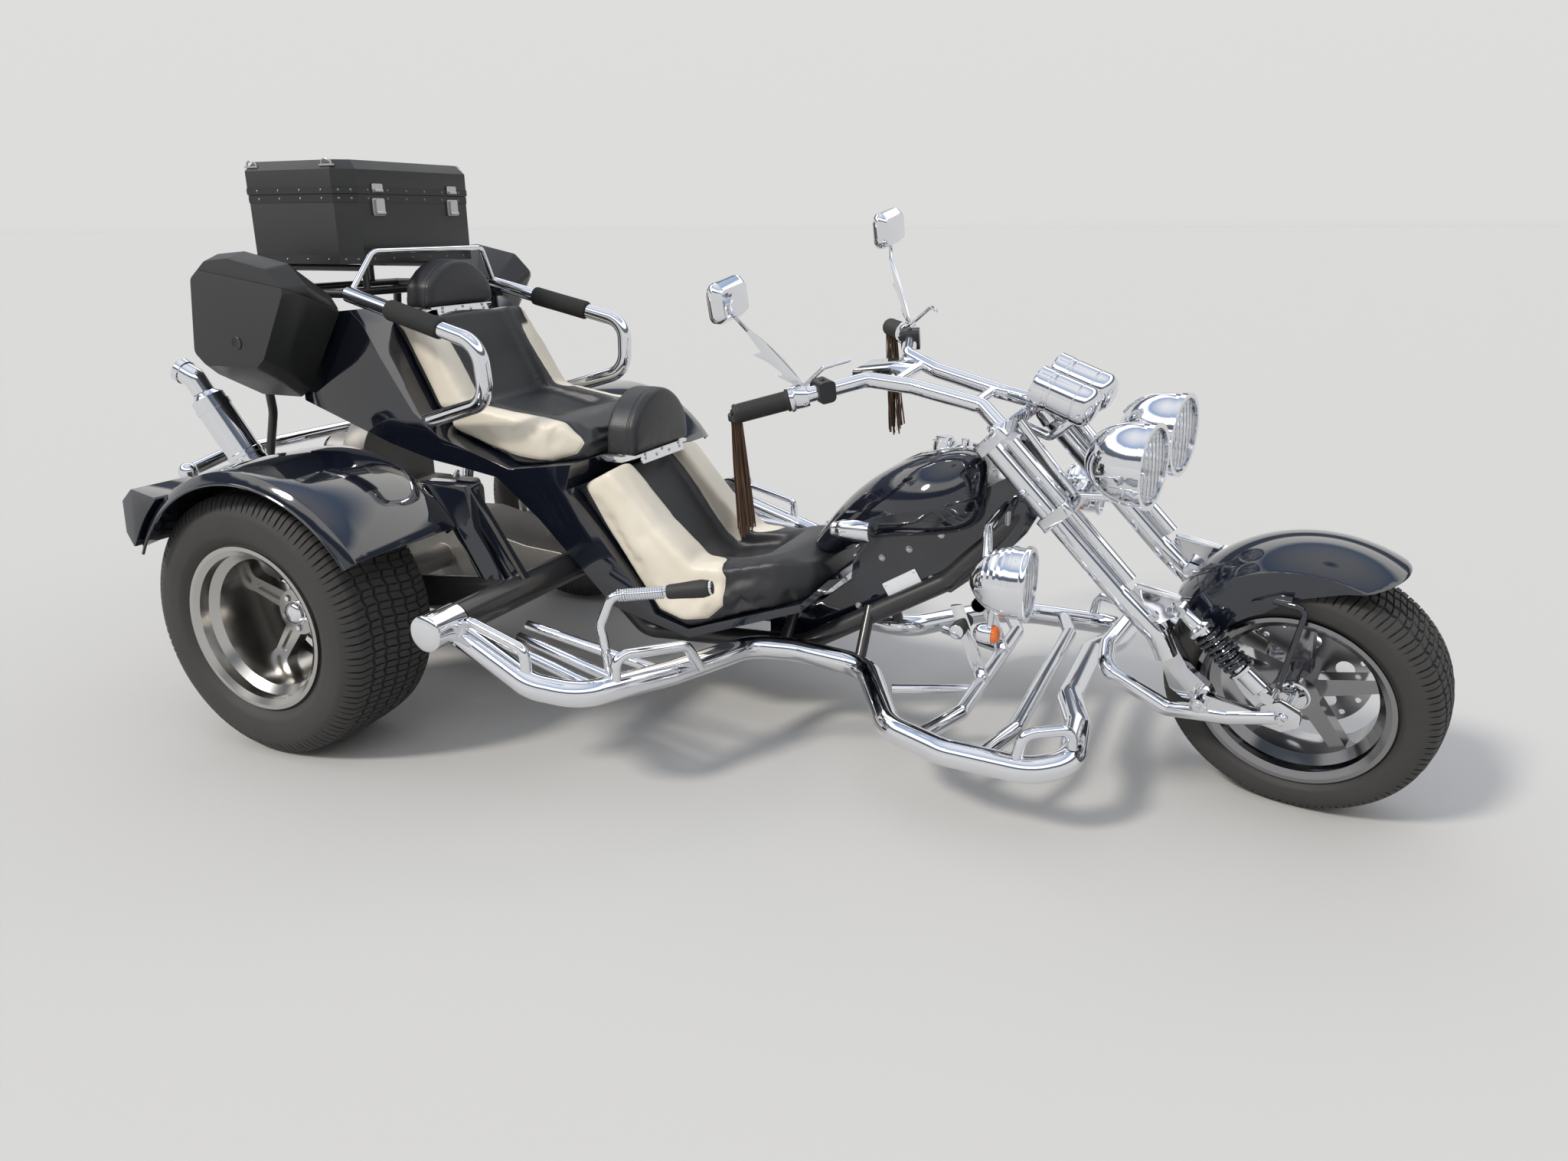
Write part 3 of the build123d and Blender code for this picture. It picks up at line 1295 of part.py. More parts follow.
# Twin headlights: bullets on a bracket before the upper yoke
LAMP_BACK = at(1872, 94, 806)
LAMP_R = 90.0
LAMP_DEPTH = 150.0
lamp_shell = bowl(LAMP_BACK, FORWARD, LAMP_DEPTH, LAMP_R, 7, 26)
lamp_bezel = spun([(0, LAMP_R - 3), (0, LAMP_R + 4), (12, LAMP_R + 4), (12, LAMP_R - 3)], LAMP_BACK + FORWARD * (LAMP_DEPTH - 12), FORWARD)
lamp_bracket = tube([on_steering(CLAMP_HIGH - 4, 118, 96), at(1850, 98, 712), at(1930, 98, 722)], 20, 20)
with BuildPart() as headlights:
    for piece in both(lamp_shell + lamp_bezel) + both(lamp_bracket):
        add(turned(piece))
    add(handlebar.part, mode=Mode.SUBTRACT)
    add(fork_tubes.part, mode=Mode.SUBTRACT)
    add(fork_clamps.part, mode=Mode.SUBTRACT)

lamp_lens = rod(
    LAMP_BACK + FORWARD * (LAMP_DEPTH - 7), LAMP_BACK + FORWARD * LAMP_DEPTH, 2 * (LAMP_R - 7 - FIT)
)
with BuildPart() as headlight_lenses:
    for piece in both(lamp_lens):
        add(turned(piece))
    add(headlights.part, mode=Mode.SUBTRACT)

# Twin gauges between the headlights and the bars
gauge_way = Vector(-0.95, 0, 0.31).normalized()
GAUGE_Y = 47.0
GAUGE_R = 45.0
gauge_foot = at(1872, GAUGE_Y, 896)
gauge_can = spun(
    [(0, 0), (0, GAUGE_R - 14), (14, GAUGE_R), (112, GAUGE_R), (112, GAUGE_R + 1.5), (138, GAUGE_R + 1.5), (142, GAUGE_R - 4), (138, GAUGE_R - 8), (138, 0)],
    gauge_foot,
    gauge_way,
)
gauge_pieces = both(gauge_can)
gauge_pieces += both(tube([on_steering(CLAMP_HIGH + 8, 74, 50), at(1768, 50, 822), at(1826, GAUGE_Y, 872)], 20, 18))
gauge_pieces.append(rod(at(1752, 0, 838), at(1730, 0, 868), 50))
gauge_pieces.append(rod(at(1790, -52, 836), at(1790, 52, 836), 16))
gauge_pieces.append(rod(at(1790, 0, 836), at(1748, 0, 842), 18))
with BuildPart() as gauges:
    for piece in gauge_pieces:
        add(turned(piece))
    add(headlights.part, mode=Mode.SUBTRACT)
    add(fork_tubes.part, mode=Mode.SUBTRACT)
    add(fork_clamps.part, mode=Mode.SUBTRACT)
    add(handlebar.part, mode=Mode.SUBTRACT)

# Brake caliper on the link arm over the disc
caliper = slab([(2174, 285), (2174, 322), (2198, 378), (2252, 352), (2240, 285)], 50, 74, 8)
caliper_arm = slab([(2225, 268), (2225, 330), (2250, 330), (2250, 268)], 72, 132)
with BuildPart() as front_caliper:
    add(turned(caliper))
    add(turned(caliper_arm))
    slot_start, slot_end = FRONT_AXLE + Vector(0, 54, 0), FRONT_AXLE + Vector(0, 63, 0)
    add(turned(rod(slot_start, slot_end, 2 * DISC_R + 10)), mode=Mode.SUBTRACT)
    add(link_arm.part, mode=Mode.SUBTRACT)

os.makedirs("parts", exist_ok=True)

frame_tubes.part.label = "frame_tubes"
export_step(frame_tubes.part, "parts/frame_tubes.step")
backbone.part.label = "backbone"
export_step(backbone.part, "parts/backbone.step")
transaxle.part.label = "transaxle"
export_step(transaxle.part, "parts/transaxle.step")
suspension.part.label = "suspension"
export_step(suspension.part, "parts/suspension.step")
engine.part.label = "engine"
export_step(engine.part, "parts/engine.step")
mufflers.part.label = "mufflers"
export_step(mufflers.part, "parts/mufflers.step")
rear_bumper.part.label = "rear_bumper"
export_step(rear_bumper.part, "parts/rear_bumper.step")
body_tub.part.label = "body_tub"
export_step(body_tub.part, "parts/body_tub.step")
driver_seat.part.label = "driver_seat"
export_step(driver_seat.part, "parts/driver_seat.step")
passenger_seat.part.label = "passenger_seat"
export_step(passenger_seat.part, "parts/passenger_seat.step")
head_pads.part.label = "head_pads"
export_step(head_pads.part, "parts/head_pads.step")
pad_plates.part.label = "pad_plates"
export_step(pad_plates.part, "parts/pad_plates.step")
grab_rails.part.label = "grab_rails"
export_step(grab_rails.part, "parts/grab_rails.step")
rail_foams.part.label = "rail_foams"
export_step(rail_foams.part, "parts/rail_foams.step")
luggage_rack.part.label = "luggage_rack"
export_step(luggage_rack.part, "parts/luggage_rack.step")
top_case.part.label = "top_case"
export_step(top_case.part, "parts/top_case.step")
top_case_lid.part.label = "top_case_lid"
export_step(top_case_lid.part, "parts/top_case_lid.step")
side_cases.part.label = "side_cases"
export_step(side_cases.part, "parts/side_cases.step")
side_lid_left.part.label = "side_lid_left"
export_step(side_lid_left.part, "parts/side_lid_left.step")
side_lid_right.part.label = "side_lid_right"
export_step(side_lid_right.part, "parts/side_lid_right.step")
rear_fenders.part.label = "rear_fenders"
export_step(rear_fenders.part, "parts/rear_fenders.step")
fender_blades.part.label = "fender_blades"
export_step(fender_blades.part, "parts/fender_blades.step")
tail_pods.part.label = "tail_pods"
export_step(tail_pods.part, "parts/tail_pods.step")
side_bars.part.label = "side_bars"
export_step(side_bars.part, "parts/side_bars.step")
foot_grilles.part.label = "foot_grilles"
export_step(foot_grilles.part, "parts/foot_grilles.step")
tank.part.label = "tank"
export_step(tank.part, "parts/tank.step")
dash.part.label = "dash"
export_step(dash.part, "parts/dash.step")
spot_lamps.part.label = "spot_lamps"
export_step(spot_lamps.part, "parts/spot_lamps.step")
spot_lenses.part.label = "spot_lenses"
export_step(spot_lenses.part, "parts/spot_lenses.step")
indicators.part.label = "indicators"
export_step(indicators.part, "parts/indicators.step")
control_levers.part.label = "control_levers"
export_step(control_levers.part, "parts/control_levers.step")
fork_tubes.part.label = "fork_tubes"
export_step(fork_tubes.part, "parts/fork_tubes.step")
fork_clamps.part.label = "fork_clamps"
export_step(fork_clamps.part, "parts/fork_clamps.step")
link_arm.part.label = "link_arm"
export_step(link_arm.part, "parts/link_arm.step")
shocks.part.label = "shocks"
export_step(shocks.part, "parts/shocks.step")
front_fender.part.label = "front_fender"
export_step(front_fender.part, "parts/front_fender.step")
front_caliper.part.label = "front_caliper"
export_step(front_caliper.part, "parts/front_caliper.step")
handlebar.part.label = "handlebar"
export_step(handlebar.part, "parts/handlebar.step")
grips.part.label = "grips"
export_step(grips.part, "parts/grips.step")
bar_controls.part.label = "bar_controls"
export_step(bar_controls.part, "parts/bar_controls.step")
mirrors.part.label = "mirrors"
export_step(mirrors.part, "parts/mirrors.step")
fringes.part.label = "fringes"
export_step(fringes.part, "parts/fringes.step")
headlights.part.label = "headlights"
export_step(headlights.part, "parts/headlights.step")
headlight_lenses.part.label = "headlight_lenses"
export_step(headlight_lenses.part, "parts/headlight_lenses.step")
gauges.part.label = "gauges"
export_step(gauges.part, "parts/gauges.step")
front_tyre.part.label = "front_tyre"
export_step(front_tyre.part, "parts/front_tyre.step")
front_rim.part.label = "front_rim"
export_step(front_rim.part, "parts/front_rim.step")
front_disc.part.label = "front_disc"
export_step(front_disc.part, "parts/front_disc.step")
rear_tyre_left.part.label = "rear_tyre_left"
export_step(rear_tyre_left.part, "parts/rear_tyre_left.step")
rear_tyre_right.part.label = "rear_tyre_right"
export_step(rear_tyre_right.part, "parts/rear_tyre_right.step")
rear_rim_left.part.label = "rear_rim_left"
export_step(rear_rim_left.part, "parts/rear_rim_left.step")
rear_rim_right.part.label = "rear_rim_right"
export_step(rear_rim_right.part, "parts/rear_rim_right.step")
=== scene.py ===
from math import atan2, copysign, cos, hypot, pi, radians, remainder, sin, sqrt, tan, tau

import bmesh
import bpy
import numpy as np
from mathutils import Matrix, Vector


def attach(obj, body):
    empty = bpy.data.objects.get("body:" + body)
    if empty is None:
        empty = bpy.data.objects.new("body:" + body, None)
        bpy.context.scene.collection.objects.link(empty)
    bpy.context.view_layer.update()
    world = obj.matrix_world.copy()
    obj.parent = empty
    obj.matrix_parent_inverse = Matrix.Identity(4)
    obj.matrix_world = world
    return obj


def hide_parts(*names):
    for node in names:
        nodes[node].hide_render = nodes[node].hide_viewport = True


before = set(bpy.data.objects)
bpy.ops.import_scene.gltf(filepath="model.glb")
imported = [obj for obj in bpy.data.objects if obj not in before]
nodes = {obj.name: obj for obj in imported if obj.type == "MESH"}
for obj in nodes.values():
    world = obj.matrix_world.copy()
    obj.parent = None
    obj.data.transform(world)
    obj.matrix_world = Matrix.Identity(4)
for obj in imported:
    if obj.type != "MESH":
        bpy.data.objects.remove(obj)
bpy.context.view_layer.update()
scene = bpy.context.scene

# Lengths are metres in vectors and millimetres in outlines, radii and the arguments of at().
MM = 0.001
SIDES = (1, -1)                            # left, right
X, Y, Z = Vector((1, 0, 0)), Vector((0, 1, 0)), Vector((0, 0, 1))
REAR_X = -1.011                            # the rear axle's place in the shared frame
REAR_R = 338.0                             # rear tyre's radius and its axle's height
FRONT_R, FRONT_X, FRONT_Z = 292.0, 2340, 297.59
STEER_FOOT_X = 2393                        # where the steering axis meets the floor
RAKE, STEER = radians(44.0), radians(-18.0)     # steering axis; parked pose


def at(x, y, z):
    """Point in metres with x counted from the rear axle in millimetres."""
    return Vector((REAR_X + x / 1000, y / 1000, z / 1000))


FOOT = at(STEER_FOOT_X, 0, 0)
UP = Vector((-sin(RAKE), 0, cos(RAKE)))    # along the steering axis
AHEAD = Vector((cos(RAKE), 0, sin(RAKE)))  # square to it
TURN = Matrix.Translation(FOOT) @ Matrix.Rotation(STEER, 4, UP) @ Matrix.Translation(-FOOT)
TURN_WAY = TURN.to_3x3()


def steered(x, y, z):
    """Point of the steered parts, given straight ahead, in the parked pose."""
    return TURN @ at(x, y, z)


# ---------- materials ----------
M = {}
DIRT, COAT_ROUGH, BUMP_DEPTH = (0.32, 0.27, 0.2), 0.03, 0.002
GRAIN_DETAIL, SHADE_NOISE, SHEEN_NOISE = 3, (9.0, 6), (6.0, 5)    # scale and detail
BLACK_SHADES = (0.012, 0.013, 0.016), (0.028, 0.029, 0.033)
CREAM_SHADES = (0.66, 0.60, 0.49), (0.80, 0.75, 0.65)


def add_node(tree, kind, values=None, sources=None):
    """Shader node with input values and with links from other nodes' outputs."""
    node = tree.nodes.new("ShaderNode" + kind)
    if kind == "Mix":
        node.data_type = "RGBA"
    for key, value in (values or {}).items():
        node.inputs[key].default_value = value
    for key, source in (sources or {}).items():
        tree.links.new(source, node.inputs[key])
    return node


def noise(tree, place, scale, detail):
    """Output of a noise texture."""
    values = {"Scale": scale, "Detail": detail}
    return add_node(tree, "TexNoise", values, {"Vector": place}).outputs["Fac"]


def new_material(name):
    """Material kept in M under its name, with its node tree and surface shader."""
    M[name] = bpy.data.materials.new(name)
    M[name].use_nodes = True
    tree = M[name].node_tree
    return tree, tree.nodes["Principled BSDF"]


def material(name, color, rough=0.5, metal=0.0, coat=0.0, bump=0.0, scale=400.0, vary=0.0,
             transmission=0.0, dirt=0.0, rough_vary=0.0):
    """Material whose bump, shade, dirt and roughness may follow noise."""
    tree, surface = new_material(name)
    for key, value in (("Base Color", (*color, 1)), ("Roughness", rough), ("Metallic", metal),
                       ("Coat Weight", coat), ("Coat Roughness", COAT_ROUGH),
                       ("Transmission Weight", transmission)):
        surface.inputs[key].default_value = value
    if not (bump or vary or rough_vary or dirt):
        return
    place = add_node(tree, "TexCoord").outputs["Object"]
    if bump:
        grain = add_node(tree, "Bump", {"Strength": bump, "Distance": BUMP_DEPTH},
                         {"Height": noise(tree, place, scale, GRAIN_DETAIL)})
        tree.links.new(grain.outputs["Normal"], surface.inputs["Normal"])
    if vary or dirt:
        other = [c * (1 - vary) for c in color]
        if dirt:
            other = [c * (1 - dirt) + d * dirt for c, d in zip(color, DIRT)]
        mix = add_node(tree, "Mix", {"A": (*color, 1), "B": (*other, 1)},
                       {"Factor": noise(tree, place, *SHADE_NOISE)})
        tree.links.new(mix.outputs["Result"], surface.inputs["Base Color"])
    if rough_vary:
        span = add_node(tree, "MapRange",
                        {"To Min": max(0.0, rough - rough_vary), "To Max": rough + rough_vary},
                        {"Value": noise(tree, place, *SHEEN_NOISE)})
        tree.links.new(span.outputs["Result"], surface.inputs["Roughness"])


def leather(name):
    """Black and cream grained leather, parted where the panel attribute changes sign."""
    tree, surface = new_material(name)
    place = add_node(tree, "TexCoord").outputs["Object"]
    panel = add_node(tree, "Attribute")
    panel.attribute_name = "panel"
    edge = add_node(tree, "MapRange", {"From Min": -0.5, "From Max": 0.5},
                    {"Value": panel.outputs["Fac"]})
    wear = noise(tree, place, 7.0, 6)
    black, cream = [
        add_node(tree, "Mix", {"A": (*low, 1), "B": (*high, 1)}, {"Factor": wear}).outputs["Result"]
        for low, high in (BLACK_SHADES, CREAM_SHADES)]
    paint = add_node(tree, "Mix",
                     sources={"Factor": edge.outputs["Result"], "A": black, "B": cream})
    shine = add_node(tree, "MapRange", {"To Min": 0.30, "To Max": 0.48}, {"Value": wear})
    cells = add_node(tree, "TexVoronoi", {"Scale": 620.0}, {"Vector": place})
    grain = add_node(tree, "Bump", {"Strength": 0.22, "Distance": 0.0012},
                     {"Height": cells.outputs["Distance"]})
    creases = add_node(tree, "Bump", {"Strength": 0.16, "Distance": 0.006},
                       {"Height": noise(tree, place, 24.0, 4), "Normal": grain.outputs["Normal"]})
    tree.links.new(paint.outputs["Result"], surface.inputs["Base Color"])
    tree.links.new(shine.outputs["Result"], surface.inputs["Roughness"])
    tree.links.new(creases.outputs["Normal"], surface.inputs["Normal"])


material("chrome", (0.80, 0.81, 0.84), 0.06, 1.0, rough_vary=0.02)
# Chrome with a darker colour: a painted dark reflection of the surroundings that the front rim
# mirrors
material("dark_chrome", (0.30, 0.30, 0.31), 0.12, 1.0, rough_vary=0.04)
material("gloss", (0.006, 0.008, 0.015), 0.07, 0.0, 1.0, rough_vary=0.02)
material("frame", (0.018, 0.018, 0.020), 0.35, 0.0, 0.3, rough_vary=0.08)
material("case", (0.020, 0.021, 0.022), 0.40, bump=0.16, scale=900, rough_vary=0.06)
material("case_trim", (0.030, 0.031, 0.032), 0.30, 0.4, rough_vary=0.08)
material("alloy", (0.50, 0.49, 0.47), 0.20, 1.0, rough_vary=0.06)
material("alloy_dark", (0.20, 0.20, 0.21), 0.32, 1.0, rough_vary=0.08)
material("cast", (0.30, 0.30, 0.30), 0.5, 0.85, bump=0.4, scale=260, dirt=0.35)
material("tin", (0.03, 0.03, 0.032), 0.4, 0.2, dirt=0.2)
material("steel", (0.5, 0.5, 0.51), 0.3, 1.0, rough_vary=0.08)
material("tyre", (0.026, 0.026, 0.027), 0.66, bump=0.3, scale=500, dirt=0.05, rough_vary=0.08)
material("rubber", (0.02, 0.02, 0.02), 0.6, bump=0.3, scale=700)
material("foam", (0.018, 0.018, 0.018), 0.85, bump=0.5, scale=900)
material("black_leather", (0.022, 0.023, 0.026), 0.38, bump=0.35, scale=520, rough_vary=0.06)
material("fringe", (0.10, 0.055, 0.03), 0.7, bump=0.3, scale=300, vary=0.4)
material("red", (0.42, 0.012, 0.012), 0.12, coat=0.6)
material("amber", (0.75, 0.16, 0.02), 0.15, coat=0.6)
material("glass", (0.95, 0.97, 1.0), 0.03, transmission=0.92)
material("mirror", (0.92, 0.93, 0.95), 0.03, 1.0, rough_vary=0.01)
material("frosted", (0.85, 0.86, 0.84), 0.35, bump=0.1, scale=300)
# Soot together with the painted shade of a pipe's bore, for the discs across the muffler tips
material("soot", (0.012, 0.011, 0.010), 0.9, bump=0.4, scale=300, vary=0.4)
material("white", (0.75, 0.76, 0.78), 0.35)
material("plate", (0.70, 0.72, 0.76), 0.3)
material("dial", (0.02, 0.02, 0.022), 0.3)
material("yellow", (0.75, 0.42, 0.03), 0.4)
material("floor", (0.52, 0.516, 0.508), 0.85)
leather("seat_leather")

FINISH = {
    "chrome": "mufflers rear_bumper grab_rails side_bars foot_grilles dash spot_lamps "
              "control_levers fork_tubes fork_clamps link_arm shocks handlebar mirrors "
              "headlights gauges pad_plates bar_controls",
    "gloss": "body_tub rear_fenders fender_blades tank front_fender backbone tail_pods",
    "frame": "frame_tubes suspension luggage_rack",
    "cast": "engine transaxle",
    "case": "top_case top_case_lid side_cases side_lid_left side_lid_right",
    "alloy": "rear_rim_left rear_rim_right",
    # front rim: chrome whose darker colour is a painted reflection of dark surroundings
    "dark_chrome": "front_rim",
    "steel": "front_disc front_caliper",
    "tyre": "front_tyre rear_tyre_left rear_tyre_right",
    "rubber": "grips",
    "foam": "rail_foams",
    "black_leather": "driver_seat passenger_seat head_pads",
    "fringe": "fringes",
    "amber": "indicators",
    "glass": "spot_lenses headlight_lenses",
}
for finish, members in FINISH.items():
    for name in members.split():
        nodes[name].data.materials.clear()
        nodes[name].data.materials.append(M[finish])


def put_in(name, data):
    """New object in the scene."""
    piece = bpy.data.objects.new(name, data)
    scene.collection.objects.link(piece)
    return piece


# ---------- edges of the carried-over pieces ----------
# Bevelled edges, width in millimetres and segments, catch the light as real ones do.
BEVELS = {
    "body_tub": (12, 5), "backbone": (5, 3), "tail_pods": (6, 3), "fender_blades": (3, 2),
    "rear_fenders": (3, 3), "top_case": (1.2, 2), "top_case_lid": (4, 3), "side_cases": (6, 4),
    "side_lid_left": (6, 4), "side_lid_right": (6, 4), "fork_clamps": (3, 3),
    "pad_plates": (1.2, 2), "front_caliper": (4, 3), "control_levers": (2, 2),
    "suspension": (2, 2), "transaxle": (5, 3), "mirrors": (1, 1), "bar_controls": (2, 2),
    "dash": (2, 2), "link_arm": (2, 2), "front_fender": (1, 2),
}
FLAT_BELOW, BEVEL_ABOVE, CRISP_ABOVE = radians(0.6), radians(28), radians(32)
WELD_WITHIN = 1e-5                         # metres


def modify(piece, kind, **values):
    """New modifier with its values set."""
    modifier = piece.modifiers.new(kind.lower(), kind)
    for key, value in values.items():
        setattr(modifier, key, value)
    return modifier


def smooth_faces(mesh):
    mesh.polygons.foreach_set("use_smooth", [True] * len(mesh.polygons))


for name, node in nodes.items():
    modify(node, "WELD", merge_threshold=WELD_WITHIN)
    if name in BEVELS:
        width, segments = BEVELS[name]
        modify(node, "DECIMATE", decimate_type="DISSOLVE", angle_limit=FLAT_BELOW)
        modify(node, "BEVEL", width=width * MM, segments=segments, limit_method="ANGLE",
               angle_limit=BEVEL_ABOVE, harden_normals=True)
    else:
        # curved faces run on smoothly, corners stay crisp
        modify(node, "EDGE_SPLIT", split_angle=CRISP_ABOVE)
    smooth_faces(node.data)


# ---------- building pieces ----------
SAME_POINT = 1e-6                          # metres
FILLET_SHARE = 0.48                        # of a straight line, the most that one corner takes


def keep(name, verts, faces, body, finish, smooth=True, sharp=35.0):
    """Mesh object from vertices and faces, riding on a body."""
    mesh = bpy.data.meshes.new(name)
    mesh.from_pydata([tuple(v) for v in verts], [], faces)
    mesh.validate()
    piece = put_in(name, mesh)
    mesh.materials.append(M[finish])
    work = bmesh.new()
    work.from_mesh(mesh)
    bmesh.ops.remove_doubles(work, verts=work.verts, dist=SAME_POINT)
    bmesh.ops.recalc_face_normals(work, faces=work.faces)
    for f in work.faces:
        f.smooth = smooth
    if smooth:
        for e in work.edges:
            if len(e.link_faces) == 2 and e.calc_face_angle(0) > radians(sharp):
                e.smooth = False
    work.to_mesh(mesh)
    work.free()
    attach(piece, body)
    return piece


def square_to(way):
    """Two unit vectors square to a direction."""
    way = way.normalized()
    side = Y if abs(way.y) < 0.9 else X
    u = way.cross(side).normalized()
    return u, way.cross(u).normalized()


def around(u, v, angle, radius):
    """Step of a radius in metres, at an angle in the plane of u and v."""
    return (u * cos(angle) + v * sin(angle)) * radius


def skin(rings):
    """Faces between neighbouring rings of vertex numbers; a ring may be a single point."""
    faces = []
    for low, high in zip(rings, rings[1:]):
        steps = max(len(low), len(high))
        for k in range(steps if steps > 1 else 0):
            n = (k + 1) % steps
            face = (low[k % len(low)], high[k % len(high)],
                    high[n % len(high)], low[n % len(low)])
            faces.append(tuple(dict.fromkeys(face)))
    return faces


def lathe(outline, place, way, steps=48):
    """Turned shape: run, radius rows in millimetres spun about a line."""
    way = way.normalized()
    u, v = square_to(way)
    verts, rings = [], []
    for run, radius in outline:
        count = steps if radius else 1
        rings.append(range(len(verts), len(verts) + count))
        for k in range(count):
            verts.append(place + way * run * MM + around(u, v, tau * k / steps, 1) * radius * MM)
    return verts, skin(rings)


def solid(*rows):
    """Outline with flat ends that reach the axis."""
    return [(rows[0][0], 0), *rows, (rows[-1][0], 0)]


def rod(radius, length, start=0):
    """Outline of a plain round bar."""
    return solid((start, radius), (start + length, radius))


def gather(*parts):
    """Several vertex and face lists as one."""
    verts, faces = [], []
    for v, f in parts:
        base = len(verts)
        verts += v
        faces += [tuple(i + base for i in face) for face in f]
    return verts, faces


def pipe(points, radius, steps=14, closed=False):
    """Round bar through points, with frames carried along."""
    pts = [Vector(p) for p in points]
    last = len(pts) - 1
    verts, rings = [], []
    normal = None
    for i, p in enumerate(pts):
        if closed:
            way = (pts[(i + 1) % len(pts)] - pts[i - 1]).normalized()
        else:
            way = (pts[min(i + 1, last)] - pts[max(i - 1, 0)]).normalized()
        if normal is None:
            normal, _ = square_to(way)
        normal = (normal - way * normal.dot(way)).normalized()
        other = way.cross(normal)
        rings.append(range(len(verts), len(verts) + steps))
        for k in range(steps):
            verts.append(p + around(normal, other, tau * k / steps, 1) * radius * MM)
    if closed:
        return verts, skin(rings + rings[:1])
    return verts, skin(rings) + [tuple(reversed(rings[0])), tuple(rings[-1])]


def smooth_run(points, per=8):
    """Points of a Catmull-Rom curve through given points."""
    pts = [Vector(p) for p in points]
    pts = [pts[0] * 2 - pts[1]] + pts + [pts[-1] * 2 - pts[-2]]
    run = []
    for a, b, c, d in zip(pts, pts[1:], pts[2:], pts[3:]):
        for k in range(per):
            t = k / per
            run.append(0.5 * ((2 * b) + (c - a) * t + (2 * a - 5 * b + 4 * c - d) * t * t
                              + (3 * b - a - 3 * c + d) * t ** 3))
    return run + [pts[-2]]


def filleted(points, radius, per=8):
    """Points of a run of straight lines whose corners are rounded off as arcs."""
    pts = [Vector(p) for p in points]
    run = [pts[0]]
    for a, b, c in zip(pts, pts[1:], pts[2:]):
        u, v = (a - b).normalized(), (c - b).normalized()
        half = u.angle(v) / 2
        longest = min((a - b).length, (c - b).length) * FILLET_SHARE
        back = min(radius * MM / tan(half), longest)
        middle = b + (u + v).normalized() * (back / cos(half))
        s, e = b + u * back - middle, b + v * back - middle
        swing = s.angle(e)
        for k in range(per + 1):
            t = k / per
            step = s * sin((1 - t) * swing) + e * sin(t * swing)
            run.append(middle + step / sin(swing))
    return run + [pts[-1]]


def helix(foot, way, low, high, radius, turns, per):
    """Points of a coil about a line from one run in millimetres to another."""
    u, v = square_to(way)
    points = []
    for k in range(int(turns * per) + 1):
        t = k / (turns * per)
        points.append(foot + way * (low + (high - low) * t) * MM
                      + around(u, v, tau * turns * t, radius * MM))
    return points


def block(outline, low, high, place, u, v, w):
    """Prism: an outline in the u, v plane carried along w, millimetres."""
    n = len(outline)
    verts = [place + (u * a + v * b + w * low) * MM for a, b in outline]
    verts += [place + (u * a + v * b + w * high) * MM for a, b in outline]
    faces = [tuple(reversed(range(n))), tuple(range(n, 2 * n))]
    faces += [(i, (i + 1) % n, n + (i + 1) % n, n + i) for i in range(n)]
    return verts, faces


def rounded(w, h, r, per=5):
    """Outline of a rectangle with round corners."""
    x, y = w / 2 - r, h / 2 - r
    points = []
    for cx, cy, start in ((x, y, 0), (-x, y, 90), (-x, -y, 180), (x, -y, 270)):
        for k in range(per + 1):
            a = radians(start + 90 * k / per)
            points.append((cx + r * cos(a), cy + r * sin(a)))
    return points


def domed(radius, height):
    """Outline of a button-headed screw."""
    return [(0, 0), (0, radius), (height * 0.35, radius), (height * 0.8, radius * 0.72),
            (height, radius * 0.3), (height, 0)]


def bolts(name, places, way, radius, height, body, finish="steel", hexagon=True):
    """Screw heads at several places; a place may carry its own direction."""
    nut = [(0, 0), (0, radius), (height * 0.85, radius), (height, radius * 0.82), (height, 0)]
    parts = []
    for place in places:
        spot, out = place if isinstance(place, tuple) else (place, way)
        if hexagon:
            parts.append(lathe(rod(radius * 1.25, 1.7, -0.5), spot, out, 20))
            parts.append(lathe(nut, spot + out.normalized() * MM, out, 6))
        else:
            parts.append(lathe(domed(radius, height), spot, out, 16))
    return keep(name, *gather(*parts), body, finish)


def pair(*parts):
    """Vertex and face lists with their copy on the other side."""
    verts, faces = gather(*parts)
    other = [Vector((v.x, -v.y, v.z)) for v in verts]
    return gather((verts, faces), (other, [tuple(reversed(f)) for f in faces]))


def on_chassis(name, finish, *parts, **look):
    return keep(name, *gather(*parts), "chassis", finish, **look)


def on_steering(name, finish, *parts, **look):
    """Piece of the steered parts, given straight ahead."""
    verts, faces = gather(*parts)
    return keep(name, [TURN @ Vector(v) for v in verts], faces, "steering", finish, **look)


# ---------- tyres and hubs ----------
SIDE_NAMES = (1, "left"), (-1, "right")
FLANGE_R, BEAD_R = 208.0, 190.5
CROWN_DROP, RUBBER = 9, 13                             # shoulder below crown; liner's depth
WALL_POINTS = 16                                       # from the flange to the shoulder
RIB_POINTS, RIB_RAISE = (3, 4, 10), 1.6                # raised rings on the sidewall
SHOULDER_CUT = {12: 0.35, 13: 0.75, 14: 1.0, 15: 1.0}  # how far the cuts run down the wall
GROOVE_HALF, GROOVE_EDGE, WIDE_LAND = 3.4, 1.5, 16
ZIG_WITHIN, SLANT, SLANT_WAVES = 0.86, 0.22, 2.6       # zigzag's share of the tread; sipes' slant
SIPE_DEPTH, SECOND_SIPE, LEAN_OUT = 0.85, 0.6, 0.7     # shares of the depth
PITCHES = 56                                           # repeats of the tread round a tyre
# One pitch: place in it, share of the cut's depth, share of the zigzag
PITCH = [(0.0, 0, 0.0), (0.025, 1, 0.04), (0.105, 1, 0.17), (0.13, 0, 0.21), (0.34, 0, 0.55),
         (0.56, 0, 1.0), (0.585, 1, 0.94), (0.64, 1, 0.82), (0.665, 0, 0.76), (0.84, 0, 0.36)]


